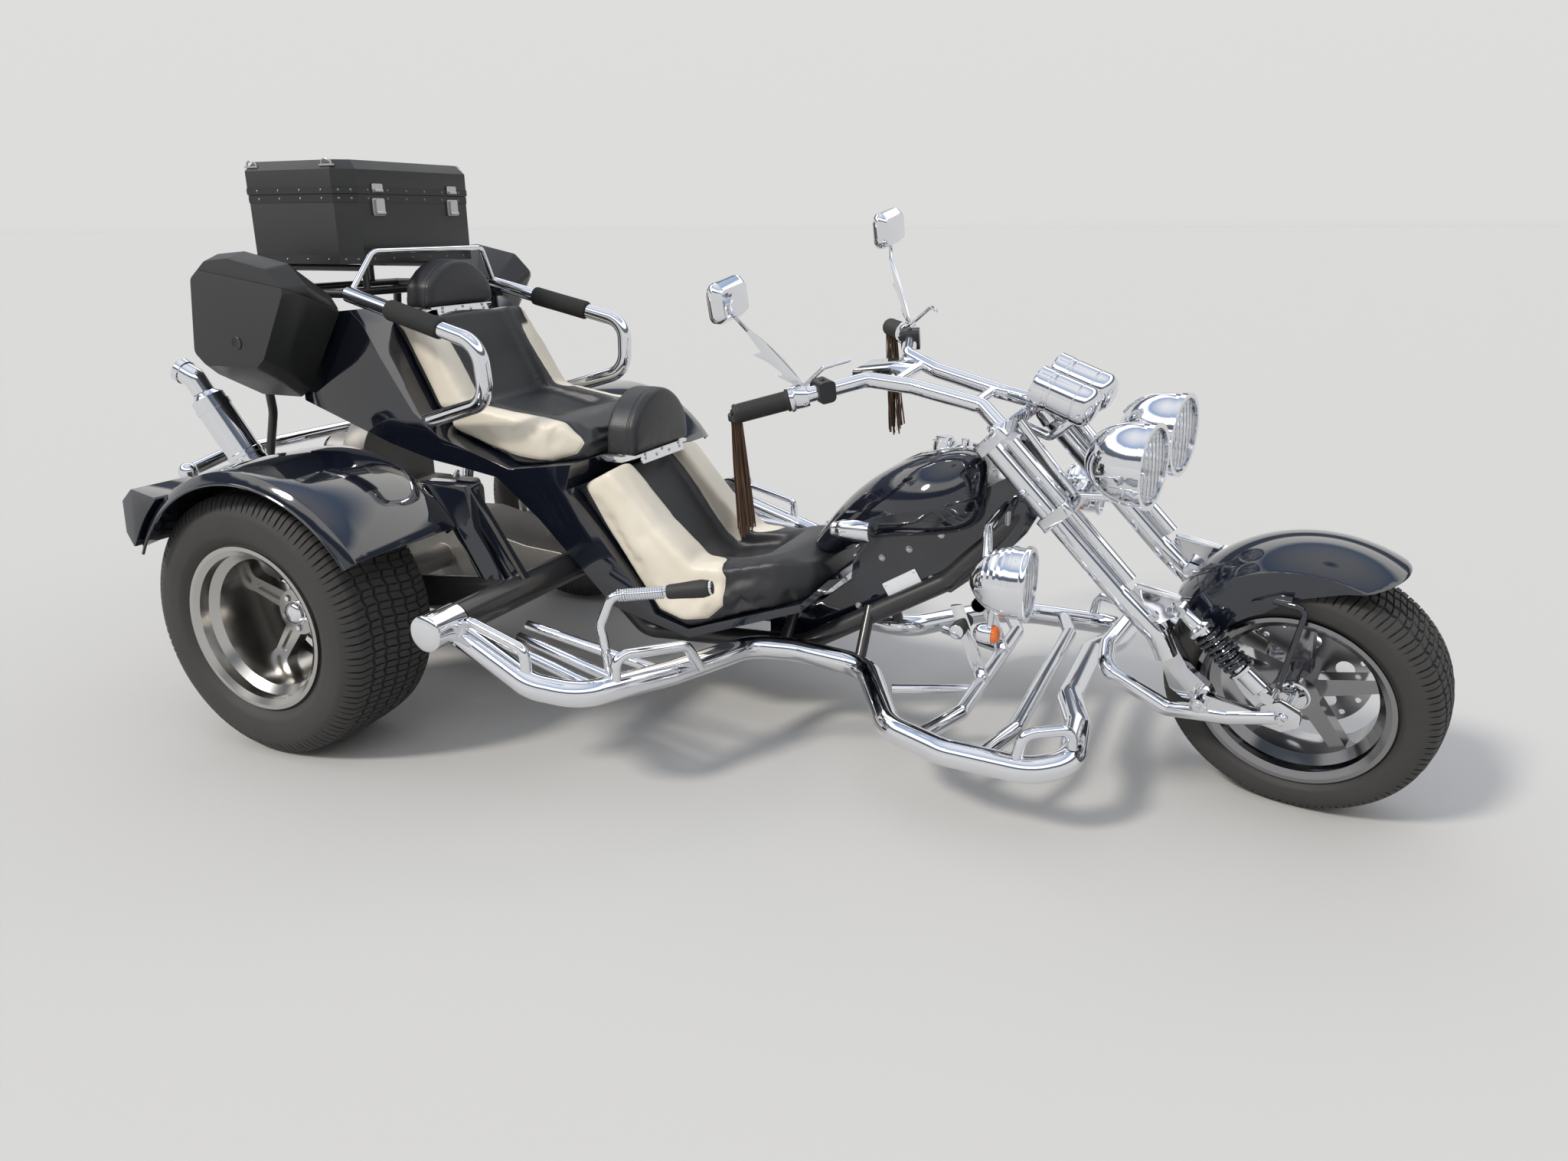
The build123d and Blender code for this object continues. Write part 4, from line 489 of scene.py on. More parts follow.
def arc_through(a, b, c, count):
    """Points of the circle arc from a through b to c."""
    (ax, ay), (bx, by), (cx, cy) = a, b, c
    aa, bb, cc = ax * ax + ay * ay, bx * bx + by * by, cx * cx + cy * cy
    d = 2 * (ax * (by - cy) + bx * (cy - ay) + cx * (ay - by))
    ux = (aa * (by - cy) + bb * (cy - ay) + cc * (ay - by)) / d
    uy = (aa * (cx - bx) + bb * (ax - cx) + cc * (bx - ax)) / d
    r = hypot(ax - ux, ay - uy)
    t0, t1, t2 = (atan2(q - uy, p - ux) for p, q in (a, b, c))
    swing = remainder(t1 - t0, tau) + remainder(t2 - t1, tau)
    angles = [t0 + swing * k / count for k in range(count + 1)]
    return [(ux + r * cos(t), uy + r * sin(t)) for t in angles]


def tyre_data(radius, width, bead_half, tread_half, grooves, depth, zig):
    """Tyre about the Y axis: zigzag grooves, cross sipes, shoulder lugs and sidewall ribs."""
    def crown(y):
        return radius - CROWN_DROP * (y / tread_half) ** 2

    middle = (FLANGE_R + radius) / 2
    shoulder_r = radius - CROWN_DROP
    side = arc_through((bead_half, FLANGE_R + 2), (width / 2, middle), (tread_half, shoulder_r),
                       WALL_POINTS)
    # rows across the tyre: y, radius, share of the cross sipes, share of the groove
    wall = [(y + RIB_RAISE * (k in RIB_POINTS), r, SHOULDER_CUT.get(k, 0), 0)
            for k, (y, r) in enumerate(side[:-1])]
    rows = [(bead_half, BEAD_R, 0, 0), *wall, (tread_half, crown(tread_half), 1, 0)]
    for g in sorted(grooves, reverse=True):
        top = g + GROOVE_HALF + GROOVE_EDGE
        if rows[-1][0] - top > WIDE_LAND:
            land = (rows[-1][0] + top) / 2
            rows.append((land, crown(land), 1, 0))
        for y, share in ((top, 0), (g + GROOVE_HALF, 1), (g - GROOVE_HALF, 1),
                         (g - GROOVE_HALF - GROOVE_EDGE, 0)):
            rows.append((y, crown(y), 1 - share, share))
    land = (rows[-1][0] - tread_half) / 2
    rows += [(land, crown(land), 1, 0), (-tread_half, crown(tread_half), 1, 0)]
    rows += [(-y, r, cut, groove) for y, r, cut, groove in reversed(wall)]
    rows.append((-bead_half, BEAD_R, 0, 0))
    liner = [(bead_half - RUBBER, BEAD_R), (bead_half - RUBBER, FLANGE_R),
             (width / 2 - RUBBER, middle), (tread_half - 6, shoulder_r - RUBBER)]
    rows += [(-y, r, 0, 0) for y, r in liner] + [(y, r, 0, 0) for y, r in reversed(liner)]
    verts = []
    for y, r, sipe, groove in rows:
        on_tread = sipe > 0 or groove > 0
        slant = SLANT * sin(y / tread_half * SLANT_WAVES) if on_tread else 0
        for p in range(PITCHES):
            for place, cut, wave in PITCH:
                sipe_depth = SIPE_DEPTH * (SECOND_SIPE if place > 0.5 else 1)
                angle = tau * (p + place + slant) / PITCHES
                fall = depth * (groove or sipe_depth * cut * sipe)
                shift = zig * (wave - 0.5) if on_tread and abs(y) < tread_half * ZIG_WITHIN else 0
                if abs(y) > tread_half + 0.5 and sipe:
                    shift = -copysign(fall * LEAN_OUT, y)
                rr = r - fall
                verts.append(Vector((rr * cos(angle), y + shift, rr * sin(angle))) * MM)
    total = PITCHES * len(PITCH)
    rings = [range(i * total, (i + 1) * total) for i in range(len(rows))]
    return verts, skin(rings + rings[:1])


verts, faces = tyre_data(REAR_R, 295, 127, 118, (-78, -34, 8, 50, 86), 7.5, 7)
for side, label in SIDE_NAMES:
    centre = at(0, side * 670, REAR_R)
    placed = [centre + Vector((v.x, v.y * side, v.z)) for v in verts]
    tyre = keep("tyre_rear_" + label, placed, faces, "rear_wheel_" + label, "tyre", sharp=38)
    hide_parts("rear_tyre_" + label)
verts, faces = tyre_data(FRONT_R, 190, 76, 72, (-44, -15, 15, 44), 6.5, 6)
placed = [steered(FRONT_X, 0, FRONT_Z) + TURN_WAY @ v for v in verts]
tyre = keep("tyre_front", placed, faces, "front_wheel", "tyre", sharp=38)
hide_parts("front_tyre")

# Hub caps, lug nuts and valve stems
HUB_CAP = solid((0, 31), (4, 31), (5, 28), (14, 27), (19, 22), (21, 12))
VALVE = [(0, 0), (0, 4), (20, 3.5), (22, 4.5), (32, 4.5), (33, 0)]
FIFTHS = [radians(72 * k + 54) for k in range(5)]
for side, label in SIDE_NAMES:
    hub, out, body = at(0, side * 666, REAR_R), Y * side, "rear_wheel_" + label
    keep("hub_cap_" + label, *lathe(HUB_CAP, hub, out), body, "chrome")
    lugs = [hub + around(X, Z, a, 0.042) - out * 0.010 for a in FIFTHS]
    bolts("lug_nuts_" + label, lugs[1:] + lugs[:1], out, 8.5, 15, body, "chrome")
    stem = at(0, side * 760, REAR_R) + around(X, Z, FIFTHS[0], 0.168)
    keep("valve_" + label, *lathe(VALVE, stem, out, 16), body, "rubber")
front_cap = solid((0, 34), (3, 34), (5, 30), (12, 28), (14, 14))
caps = gather(*[lathe(front_cap, at(FRONT_X, y, FRONT_Z), Y * y, 40) for y in (62, -56)])
keep("front_hub_caps", [TURN @ v for v in caps[0]], caps[1], "front_wheel", "chrome")
disc_bolts = [TURN @ (at(FRONT_X, 61, FRONT_Z) + around(X, Z, a, 0.043)) for a in FIFTHS]
bolts("disc_bolts", disc_bolts, TURN_WAY @ Y, 6.5, 5, "front_wheel", "chrome", hexagon=False)

# ---------- side bars ----------
SIDE_BAR_R, CROSSBAR_R, TORSION_R, SMALL_ROD_R = 30.0, 19.0, 42.0, 11.0
left = [(545, 715, 385), (775, 752, 298), (880, 720, 278), (975, 480, 258), (1050, 205, 240),
        (1150, 160, 230), (1350, 155, 212), (1500, 425, 190), (1640, 485, 185), (1830, 492, 180),
        (1905, 440, 190), (1893, 290, 208), (1850, 160, 217)]
loop = [at(*row) for row in left] + [at(x, -y, z) for x, y, z in reversed(left)]
bar_parts = [pipe(filleted(loop, 105, 12), SIDE_BAR_R, 28)]
for x_end, y_end, x_bend, y_bend, z in ((1570, 450, 1628, 293, 194), (1719, 487, 1763, 331, 194)):
    cross = [at(x_end, -y_end, z - 8), at(x_bend, -y_bend, z), at(x_bend, y_bend, z),
             at(x_end, y_end, z - 8)]
    bar_parts.append(pipe(filleted(cross, 45), CROSSBAR_R, 20))
for side in SIDES:
    struts = [at(1438, side * 225, 195), at(1628, side * 138, 192)]
    bar_parts.append(pipe(struts, SMALL_ROD_R, 16))
bar_parts.append(pair(lathe(rod(TORSION_R, 94), at(540, 708, 405), Y)))
bars = on_chassis("guard_bars", "chrome", *bar_parts)
brackets = [pipe([at(x, side * 158, 225), at(x, side * 80, z)], 14.5, 16)
            for side in SIDES for x, z in ((1120, 305), (1330, 345))]
on_chassis("bar_brackets", "frame", *brackets)
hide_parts("side_bars")

# ---------- padded pieces ----------
CLOTH_FRAMES, QUICK_FRAMES = 20, 2
CLOTH = {"use_pressure": True, "uniform_pressure_force": 4.0, "quality": 4,
         "tension_stiffness": 25, "compression_stiffness": 25, "bending_stiffness": 15.0}
PANEL_RISE, PANEL_EDGE, PANEL_SEAM, PANEL_SEAM_WIDE = 1.6, 14, -2.6, 3.2
OTHER_SEAM, OTHER_SEAM_WIDE = -2.4, 3.0


def polygon_distance(px, py, outline):
    """Signed distance to a polygon, positive inside."""
    outline = np.array(outline, float)
    best = np.full(px.shape, 1e9)
    inside = np.zeros(px.shape, bool)
    for (ax, ay), (bx, by) in zip(outline, np.roll(outline, -1, axis=0)):
        ex, ey = bx - ax, by - ay
        t = np.clip(((px - ax) * ex + (py - ay) * ey) / (ex * ex + ey * ey), 0, 1)
        best = np.minimum(best, np.hypot(px - ax - t * ex, py - ay - t * ey))
        inside ^= ((ay > py) != (by > py)) & (px < (bx - ax) * (py - ay) / (by - ay + 1e-12) + ax)
    return np.where(inside, best, -best)


def soft_min(a, b, round_off):
    """Smaller of two distances with the corner rounded."""
    h = np.clip(0.5 + 0.5 * (b - a) / round_off, 0, 1)
    return b * (1 - h) + a * h - round_off * h * (1 - h)


def settle(piece):
    """Applies every modifier of a piece."""
    deps = bpy.context.evaluated_depsgraph_get()
    deps.update()
    mesh = bpy.data.meshes.new_from_object(piece.evaluated_get(deps), depsgraph=deps)
    piece.modifiers.clear()
    piece.data = mesh


def vertex_rows(mesh, what="co"):
    """Positions or normals of a mesh's vertices, a row each."""
    values = np.zeros(len(mesh.vertices) * 3)
    mesh.vertices.foreach_get(what, values)
    return values.reshape(-1, 3)


def padded(node, name, body, voxel, rounds, cap, mask, seams=()):
    """Cushion from a CAD solid: remeshed, rounded off and puffed up with Cloth, up to a cap.

    The mask gives each vertex's distance in millimetres into the cream panel.
    """
    piece = put_in(name, nodes[node].data.copy())
    piece.data.materials.clear()
    modify(piece, "REMESH", mode="VOXEL", voxel_size=voxel * MM)
    settle(piece)
    modify(piece, "SMOOTH", factor=0.5, iterations=rounds)
    settle(piece)
    start = vertex_rows(piece.data)
    cloth = modify(piece, "CLOTH")
    cloth.settings.effector_weights.gravity = 0.0
    for key, value in CLOTH.items():
        setattr(cloth.settings, key, value)
    for span in (scene, cloth.point_cache):
        span.frame_start, span.frame_end = 1, CLOTH_FRAMES
    for f in range(CLOTH_FRAMES):
        scene.frame_set(f + 1)
    settle(piece)
    scene.frame_set(1)
    step = vertex_rows(piece.data) - start
    step -= np.median(step, axis=0)
    length = np.linalg.norm(step, axis=1, keepdims=True)
    step *= np.minimum(1, cap * MM / np.maximum(length, 1e-9))
    piece.data.vertices.foreach_set("co", (start + step).ravel())
    modify(piece, "SUBSURF", levels=1, render_levels=1)
    settle(piece)
    co = vertex_rows(piece.data)
    x, y, z = (co[:, 0] - REAR_X) * 1000, co[:, 1] * 1000, co[:, 2] * 1000
    share = mask(x, y, z)
    rise = np.exp(-(share / PANEL_SEAM_WIDE) ** 2) * PANEL_SEAM
    rise += np.clip(share, 0, PANEL_EDGE) / PANEL_EDGE * PANEL_RISE
    for seam in seams:
        rise += np.exp(-(seam(x, y, z) / OTHER_SEAM_WIDE) ** 2) * OTHER_SEAM
    co += vertex_rows(piece.data, "normal") * (rise * MM)[:, None]
    piece.data.vertices.foreach_set("co", co.ravel())
    attribute = piece.data.attributes.new("panel", "FLOAT", "POINT")
    attribute.data.foreach_set("value", share.astype(np.float32))
    smooth_faces(piece.data)
    piece.data.materials.append(M["seat_leather"])
    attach(piece, body)
    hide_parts(node)


def driver_mask(x, y, z):
    """The driver's panel, drawn from the side, and its half width."""
    outline = [(588, 640), (655, 520), (745, 382), (806, 316), (870, 298), (942, 306), (985, 345),
               (990, 420), (960, 470), (900, 540), (800, 640), (700, 720), (600, 730)]
    across = np.abs(y) - 122 - np.clip(x - 860, 0, 200) * 0.16
    return soft_min(polygon_distance(x, z, outline), across, 46)


def passenger_mask(x, y, z):
    """The passenger's seat oval and back strip."""
    oval = [(170, 752), (215, 790), (280, 815), (370, 805), (455, 806), (530, 790), (575, 752),
            (585, 728), (560, 700), (500, 682), (410, 690), (300, 712), (215, 738)]
    strip = [(-30, 1060), (105, 1030), (160, 960), (250, 850), (292, 818), (235, 800), (150, 806),
             (110, 880), (40, 1000)]
    across = np.abs(y) - 152 - np.clip(1000 - z, 0, 200) * 0.12
    return np.maximum(soft_min(polygon_distance(x, z, oval), np.abs(y) - 186, 30),
                      soft_min(polygon_distance(x, z, strip), across, 24))


def no_mask(x, y, z):
    """All black."""
    return np.full(x.shape, -60.0)


def pad_seam(x, y, z):
    """Seam round the rim of each head pad's front face."""
    return np.where(x > 300, x - 676, x - 46)


padded("driver_seat", "seat_driver", "chassis", 8.0, 16, 7, driver_mask)
padded("passenger_seat", "seat_passenger", "chassis", 8.0, 15, 7, passenger_mask)
padded("head_pads", "cushions_head", "chassis", 6.0, 7, 8, no_mask, (pad_seam,))

# ---------- top case and side cases ----------
CASE_FRONT, CASE_REAR, CASE_HALF, CORNER = -70.0, -456.0, 262.0, 44.0
CASE_CENTRE = Vector(((CASE_FRONT + CASE_REAR) / 2, 0))
RIVET_PITCH = 72
# Latches on the front face: a base plate, a bail and a lever
latch_parts, bail_parts = [], []
for y in (-150, 150):
    base = at(CASE_FRONT + 0.5, y, 1318)
    bail = at(CASE_FRONT + 2.5, y, 1366)
    latch_parts += [
        block(rounded(46, 44, 5), 0, 5, base, Y, Z, X),
        block(rounded(30, 34, 4), 5, 11, base + Z * 0.002, Y, Z, X),
        lathe(rod(5, 34), base + Vector((0.008, -0.017, -0.016)), Y, 16)]
    bail_parts += [block(rounded(40, 22, 4), 0, 4, bail, Y, Z, X),
                   lathe(rod(4, 30), at(CASE_FRONT + 9, y - 15, 1359), Y, 16)]
on_chassis("case_latches", "steel", *latch_parts)
keep("lid_catches", *gather(*bail_parts), "top_lid", "steel")
# Edge protectors: bands round the case's rims, rivets along them
outline = [(CASE_FRONT, CASE_HALF - CORNER), (CASE_FRONT - CORNER, CASE_HALF),
           (CASE_REAR + CORNER, CASE_HALF), (CASE_REAR, CASE_HALF - CORNER)]
outline += [(x, -y) for x, y in reversed(outline)]
lid_outline = [(x + copysign(2, x - CASE_CENTRE.x), y + copysign(2, y)) for x, y in outline]


def outward(a, b):
    """Unit vector square to one side of the case's plan, away from its middle."""
    way = (b - a).normalized()
    out = Vector((way.y, -way.x))
    return out if out.dot((a + b) / 2 - CASE_CENTRE) > 0 else -out


def band_data(points, z_low, z_high, thick):
    """Flat band standing proud of a closed plan outline."""
    n = len(points)
    plan = [Vector(p) for p in points]
    outer = []
    for i, here in enumerate(plan):
        n1, n2 = outward(plan[i - 1], here), outward(here, plan[(i + 1) % n])
        outer.append(here + (n1 + n2) / (1 + n1.dot(n2)) * thick)
    verts, faces = [], []
    for z in (z_low, z_high):
        verts += [at(p.x, p.y, z) for p in plan + outer]
    for i in range(n):
        j = (i + 1) % n
        faces += [(n + i, n + j, 3 * n + j, 3 * n + i), (i, 2 * n + i, 2 * n + j, j),
                  (i, j, n + j, n + i), (2 * n + i, 3 * n + i, 3 * n + j, 2 * n + j)]
    return verts, faces


def rivet_places(points, z, proud):
    """Rivet heads along each straight run of an outline."""
    places = []
    for i in range(len(points)):
        a, b = Vector(points[i]), Vector(points[(i + 1) % len(points)])
        out = outward(a, b)
        count = max(2, round((b - a).length / RIVET_PITCH))
        for s in range(count):
            spot = a + (b - a) * ((s + 0.5) / count) + out * proud
            places.append((at(spot.x, spot.y, z), Vector((out.x, out.y, 0))))
    return places


for name, low, high in (("case_band_low", 1173, 1196), ("case_band_high", 1330, 1349)):
    on_chassis(name, "case_trim", band_data(outline, low, high, 1.6), smooth=False)
keep("lid_band", *band_data(lid_outline, 1351.5, 1368, 1.4), "top_lid", "case_trim", smooth=False)
case_rivets = rivet_places(outline, 1184, 1.6) + rivet_places(outline, 1339, 1.6)
lid_rivets = rivet_places(lid_outline, 1360, 1.4)
for name, places, body in (("case_rivets", case_rivets, "chassis"),
                           ("lid_rivets", lid_rivets, "top_lid")):
    bolts(name, places, X, 3.2, 1.6, body, "alloy_dark", hexagon=False)
# Tie-down rings on the lid's sloping edge
ring_parts = []
for x in (-130, -396):
    for side in SIDES:
        spot = at(x, side * (CASE_HALF - 9), 1424)
        ring = [spot + Vector((0.017 * cos(a), side * 0.005 * sin(a), 0.013 * sin(a)))
                for a in [pi * k / 10 for k in range(11)]]
        ring_parts.append(pipe(ring, 2.5, 10))
        ring_parts.append(block(rounded(46, 14, 4), -4, 0.5, spot, X, Y, Z))
keep("lid_rings", *gather(*ring_parts), "top_lid", "steel")
# Blank round badges of the side cases
badge = solid((0, 17), (2.4, 17), (3.2, 15.5), (2.4, 14))
on_chassis("side_badges", "case_trim", pair(lathe(badge, at(-250, 511.5, 985), Y, 36)))

# ---------- lamps ----------
HEAD_R, HEAD_ROUND = 90, 124     # headlight shell: radius, length of its round back


def lamp_data(back, depth, radius):
    """Reflector bowl and bulb inside an open lamp shell, pointing forwards."""
    bowl = [(14, 0), (16, radius * 0.18), (30, radius * 0.50), (60, radius * 0.76),
            (depth - 16, radius - 9), (depth - 10, radius - 8.2), (depth - 10, radius - 9.5),
            (62, radius * 0.74), (34, radius * 0.50), (20, radius * 0.18), (18, 0)]
    bulb = [(18, 0), (18, 11), (34, 11), (38, 8), (64, 7), (70, 0)]
    return lathe(bowl, back, X, 64), lathe(bulb, back, X, 24)


def lens_data(place, depth, radius):
    """Lens disc with upright flutes, slightly crowned."""
    rings, steps, crown, thick, flute, flute_width = 12, 72, 4.5, 3.0, 0.7, 3.4
    verts = []
    for face in (0, 1):
        for i in range(rings + 1):
            for k in range(steps):
                a = tau * k / steps
                r = radius * i / rings
                y, z = r * cos(a), r * sin(a)
                run = depth + crown * (1 - (i / rings) ** 2) - face * thick
                if not face and i < rings - 1 and abs(z) < radius * 0.8:
                    run += flute * cos(y / flute_width)
                verts.append(place + Vector((run, y, z)) * MM)
    circles = [range(i * steps, (i + 1) * steps) for i in range(2 * rings + 2)]
    front, back = circles[:rings + 1], circles[rings + 1:]
    return verts, skin(front) + skin(back) + skin([front[-1], back[-1]])


spot_back, head_back = at(1680, 470, 578), at(1872, 94, 806)
for name, back, shell, lens, put, node in (
        ("spot", spot_back, (124, 72), (119, 65.5), on_chassis, "spot_lenses"),
        ("head", head_back, (150, HEAD_R), (144, 82.5), on_steering, "headlight_lenses")):
    bowl, bulb = lamp_data(back, *shell)
    put(name + "_reflectors", "mirror", pair(bowl))
    put(name + "_bulbs", "frosted", pair(bulb))
    piece = put(name + "_glasses", "glass", pair(lens_data(back, *lens)))
    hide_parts(node)
rim = [(0, 72), (0, 76.5), (3, 78), (9, 78), (12, 76), (12, 68), (9, 67), (9, 72)]
on_chassis("spot_bezels", "chrome", pair(lathe(rim, spot_back + X * 0.112, X, 64)))
ridge = []
for k in range(14):
    run = 10 + 116 * k / 13
    height = HEAD_R * sqrt(1 - max(0.0, (HEAD_ROUND - run) / HEAD_ROUND) ** 2)
    ridge.append(head_back + Vector((run, 0, height + 1.5)) * MM)
on_steering("head_ridges", "chrome", pair(pipe(ridge, 3.4, 10)))
# Indicators: bright bullets with amber lenses on stems
signal = [(0, 0), (1, 9), (6, 16), (16, 20.5), (34, 21.5), (40, 21.5), (40, 0)]
amber = [(40.2, 0), (40.2, 20), (47, 19), (53, 14), (55.5, 6), (56, 0)]
low = at(1688, 450, 455)
stem = pipe(smooth_run([at(1722, 452, 472), at(1726, 462, 505), at(1735, 470, 532)], 5), 7)
piece = on_chassis("indicator_bodies", "chrome", pair(lathe(signal, low, X, 40), stem))
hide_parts("indicators")
on_chassis("indicator_lenses", "amber", pair(lathe(amber, low, X, 40)))
# Tail lenses on the pods' rear faces, which stand square to the fender's end
ends = [at(62, 0, 335) + around(X, Z, radians(degrees), (412 + proud) * MM)
        for degrees, proud in ((149.9, 36), (141.4, 76))]
up = (ends[1] - ends[0]).normalized()
back = Vector((-up.z, 0, up.x))
spots = [(ends[0] + ends[1]) / 2 + Y * y * MM for y in (735, 806)]
for name, outline, finish in (
        ("tail_lenses", [(-1, 0), (-1, 29), (5, 28), (9, 22), (10.5, 10), (11, 0)], "red"),
        ("tail_bezels", [(-1, 29), (-1, 33), (4, 33), (6, 31), (4, 29)], "chrome")):
    on_chassis(name, finish, pair(*[lathe(outline, spot, back, 40) for spot in spots]))

# ---------- gauges ----------
gauge_way = Vector((-0.95, 0, 0.31)).normalized()
gauge_foot = at(1872, 47, 896)
face_place = gauge_foot + gauge_way * 0.1385
g_up = (Z - gauge_way * gauge_way.z).normalized()


def on_dial(radius, degrees, lift):
    """Point on a gauge's face, the angle counted from its top."""
    step = around(g_up, -Y, radians(degrees), 1)
    return face_place + step * radius * MM + gauge_way * lift * MM


marks = []
for k in range(25):
    a = -120 + 10 * k
    inner, width = (27, 0.7) if k % 4 == 0 else (30, 0.4)
    marks.append(pipe([on_dial(33, a, 0.5), on_dial(inner, a, 0.5)], width, 6))
needle = [pipe([on_dial(-6, -70, 1.4), on_dial(27, -70, 1.4)], 0.8, 8),
          lathe(solid((0, 4.5), (3, 4)), face_place, gauge_way, 20)]
bezel = [(-3, 46.5), (3, 47), (6, 44), (6, 39), (1, 37.2), (0, 37), (-3, 44)]
glass = [(3.2, 0), (3.2, 38.4), (4.4, 38.4), (5.0, 30), (5.6, 15), (5.9, 0)]
dial = solid((0, 37), (-1, 37))
for name, finish, parts in (
        ("dials", "dial", [lathe(dial, face_place, gauge_way)]),
        ("marks", "white", marks), ("needles", "red", needle),
        ("bezels", "chrome", [lathe(bezel, face_place, gauge_way, 56)]),
        ("glasses", "glass", [lathe(glass, face_place, gauge_way)])):
    on_steering("gauge_" + name, finish, pair(*parts))
can = solid((0, 26), (2, 31), (7, 38), (14, 43), (20, 45), (40, 45), (41.5, 43.6), (44, 43.6),
            (45.5, 45), (98, 45), (99.5, 43.6), (102, 43.6), (103.5, 45), (112, 45), (112, 46.5),
            (138, 46.5))
pod = solid((0, 22), (3, 25), (33, 25), (36, 23))
pod_way = Vector((-22, 0, 30)).normalized()
arm_foot = at(STEER_FOOT_X, 50, 0) + UP * (801 / cos(RAKE)) * MM + AHEAD * 0.074
holder = [arm_foot, at(1768, 50, 822), at(1826, 47, 872)]
cans = [pair(lathe(can, gauge_foot, gauge_way, 64), pipe(filleted(holder, 18), 10, 16)),
        lathe(pod, at(1752, 0, 838), pod_way, 40),
        pipe([at(1790, -52, 836), at(1790, 52, 836)], 8, 16),
        pipe([at(1790, 0, 836), at(1748, 0, 842)], 9, 16)]
piece = on_steering("gauge_cans", "chrome", *cans)
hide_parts("gauges")
u, v = square_to(pod_way)
buttons = [lathe([(0, 0), (0, 3.5), (2.4, 3.2), (3, 0)],
                 at(1730, 0, 868) + around(u, v, radians(72 * k), 0.014), pod_way, 16)
           for k in range(5)]
on_steering("warning_lights", "amber", *buttons)

# ---------- springs, grips and tassels ----------
shock_low, shock_high = at(2306, 142, 340), at(2112, 142, 506)
way = (shock_high - shock_low).normalized()
run = (shock_high - shock_low).length * 1000
damper = [(0, 0), (0, 11), (18, 14), (22, 21), (70, 21), (74, 30), (80, 31), (82, 15),
          (run - 66, 15), (run - 62, 30), (run - 54, 31), (run - 46, 18), (run - 20, 16),
          (run, 12), (run, 0)]
shock = [lathe(damper, shock_low, way, 40)]
shock += [lathe(rod(14, 28, -14), end, Y, 28) for end in (shock_low, shock_high)]
piece = on_steering("shock_bodies", "chrome", pair(*shock))
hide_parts("shocks")
coil = helix(shock_low, way, 84, run - 66, 26.5, 7.5, 26)
on_steering("shock_springs", "gloss", pair(pipe(coil, 4.6, 10)))

GRIP_RUN = 136
grip_a, grip_b = at(1240, 245, 929), at(1110, 352, 906)
grip_way = (grip_b - grip_a).normalized()
grip_end = grip_b + grip_way * 0.006
grip_start = grip_end - grip_way * GRIP_RUN * MM
rows = [(0, 18.9), (0, 25), (2, 27), (6, 27), (8, 23)]
for k in range(27):
    s = 10 + k * 4.2
    rows += [(s, 22.4), (s + 1.2, 23.4), (s + 3.0, 23.4), (s + 4.0, 22.4)]
rows += [(126, 22.4), (128, 24), (133, 24), (GRIP_RUN, 21), (GRIP_RUN + 1, 10), (GRIP_RUN + 1, 0)]
piece = on_steering("grip_sleeves", "rubber", pair(lathe(rows, grip_start, grip_way, 40)))
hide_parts("grips")
collar = [(-12, 19.2), (-12, 29), (-9, 31), (-2, 31), (0, 28), (0, 19.2)]
on_steering("grip_collars", "chrome", pair(lathe(collar, grip_start, grip_way, 40)))

rng = np.random.default_rng(11)
strip_verts, strip_faces = [], []
STRIPS, STRIP_RUN, STRIP_WIDE, STRIP_THICK = 34, 0.335, 0.0042, 0.0012
BUNCH_R, KNOTS, WAVE = 0.013, 14, 0.0025
hang = grip_end + Vector((0.004, -0.004, 0.0))
for s in range(STRIPS):
    ring = around(X, Y, tau * s / STRIPS, BUNCH_R)
    twist = rng.uniform(0, pi)
    lean_x, lean_y = rng.normal(0, 0.006), rng.normal(0, 0.006)
    end = STRIP_RUN * rng.uniform(0.9, 1.0)
    phase = rng.uniform(0, 6.28)
    base = len(strip_verts)
    for k in range(KNOTS):
        t = k / (KNOTS - 1)
        wave = WAVE * sin(5.5 * t + phase)
        swing = Vector((lean_x * t - 0.010 * t + wave, lean_y * t + 0.008 * t + wave * 0.6,
                        0.012 - end * t))
        centre = hang + ring * (0.75 + 0.45 * sin(2.2 * t)) + swing
        spin = twist + t * rng.uniform(0.1, 0.5)
        w = Vector((cos(spin), sin(spin), 0)) * STRIP_WIDE / 2
        n = Vector((-sin(spin), cos(spin), 0)) * STRIP_THICK / 2
        strip_verts += [centre + w + n, centre - w + n, centre - w - n, centre + w - n]
        if k:
            p, q = base + 4 * (k - 1), base + 4 * k
            strip_faces += [(p + i, p + (i + 1) % 4, q + (i + 1) % 4, q + i) for i in range(4)]
    last = base + 4 * KNOTS
    strip_faces += [tuple(range(base, base + 4)), tuple(range(last - 1, last - 5, -1))]
tassel = on_steering("tassel_strips", "fringe", pair((strip_verts, strip_faces)), smooth=False)
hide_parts("fringes")
band = solid((0, 19), (2, 20), (14, 20), (16, 18))
on_steering("tassel_bands", "frame", pair(lathe(band, hang + Z * 0.002, -Z, 28)))

# Black switch boxes on the bar, inboard of the grips
bar_way = (grip_a - at(1318, 95, 926)).normalized()
box_up = (Z - bar_way * bar_way.z).normalized()
box_out = bar_way.cross(box_up)
box_at = at(1262, 203, 930)
switches = [block(rounded(44, 52, 12), -24, 24, box_at, bar_way, box_up, box_out),
            block(rounded(22, 14, 4), 24, 29, box_at + box_up * 0.006, bar_way, box_up, -box_out),
            lathe(domed(6, 5), box_at + box_up * 0.026, box_up, 20)]
on_steering("switch_boxes", "case_trim", pair(*switches))

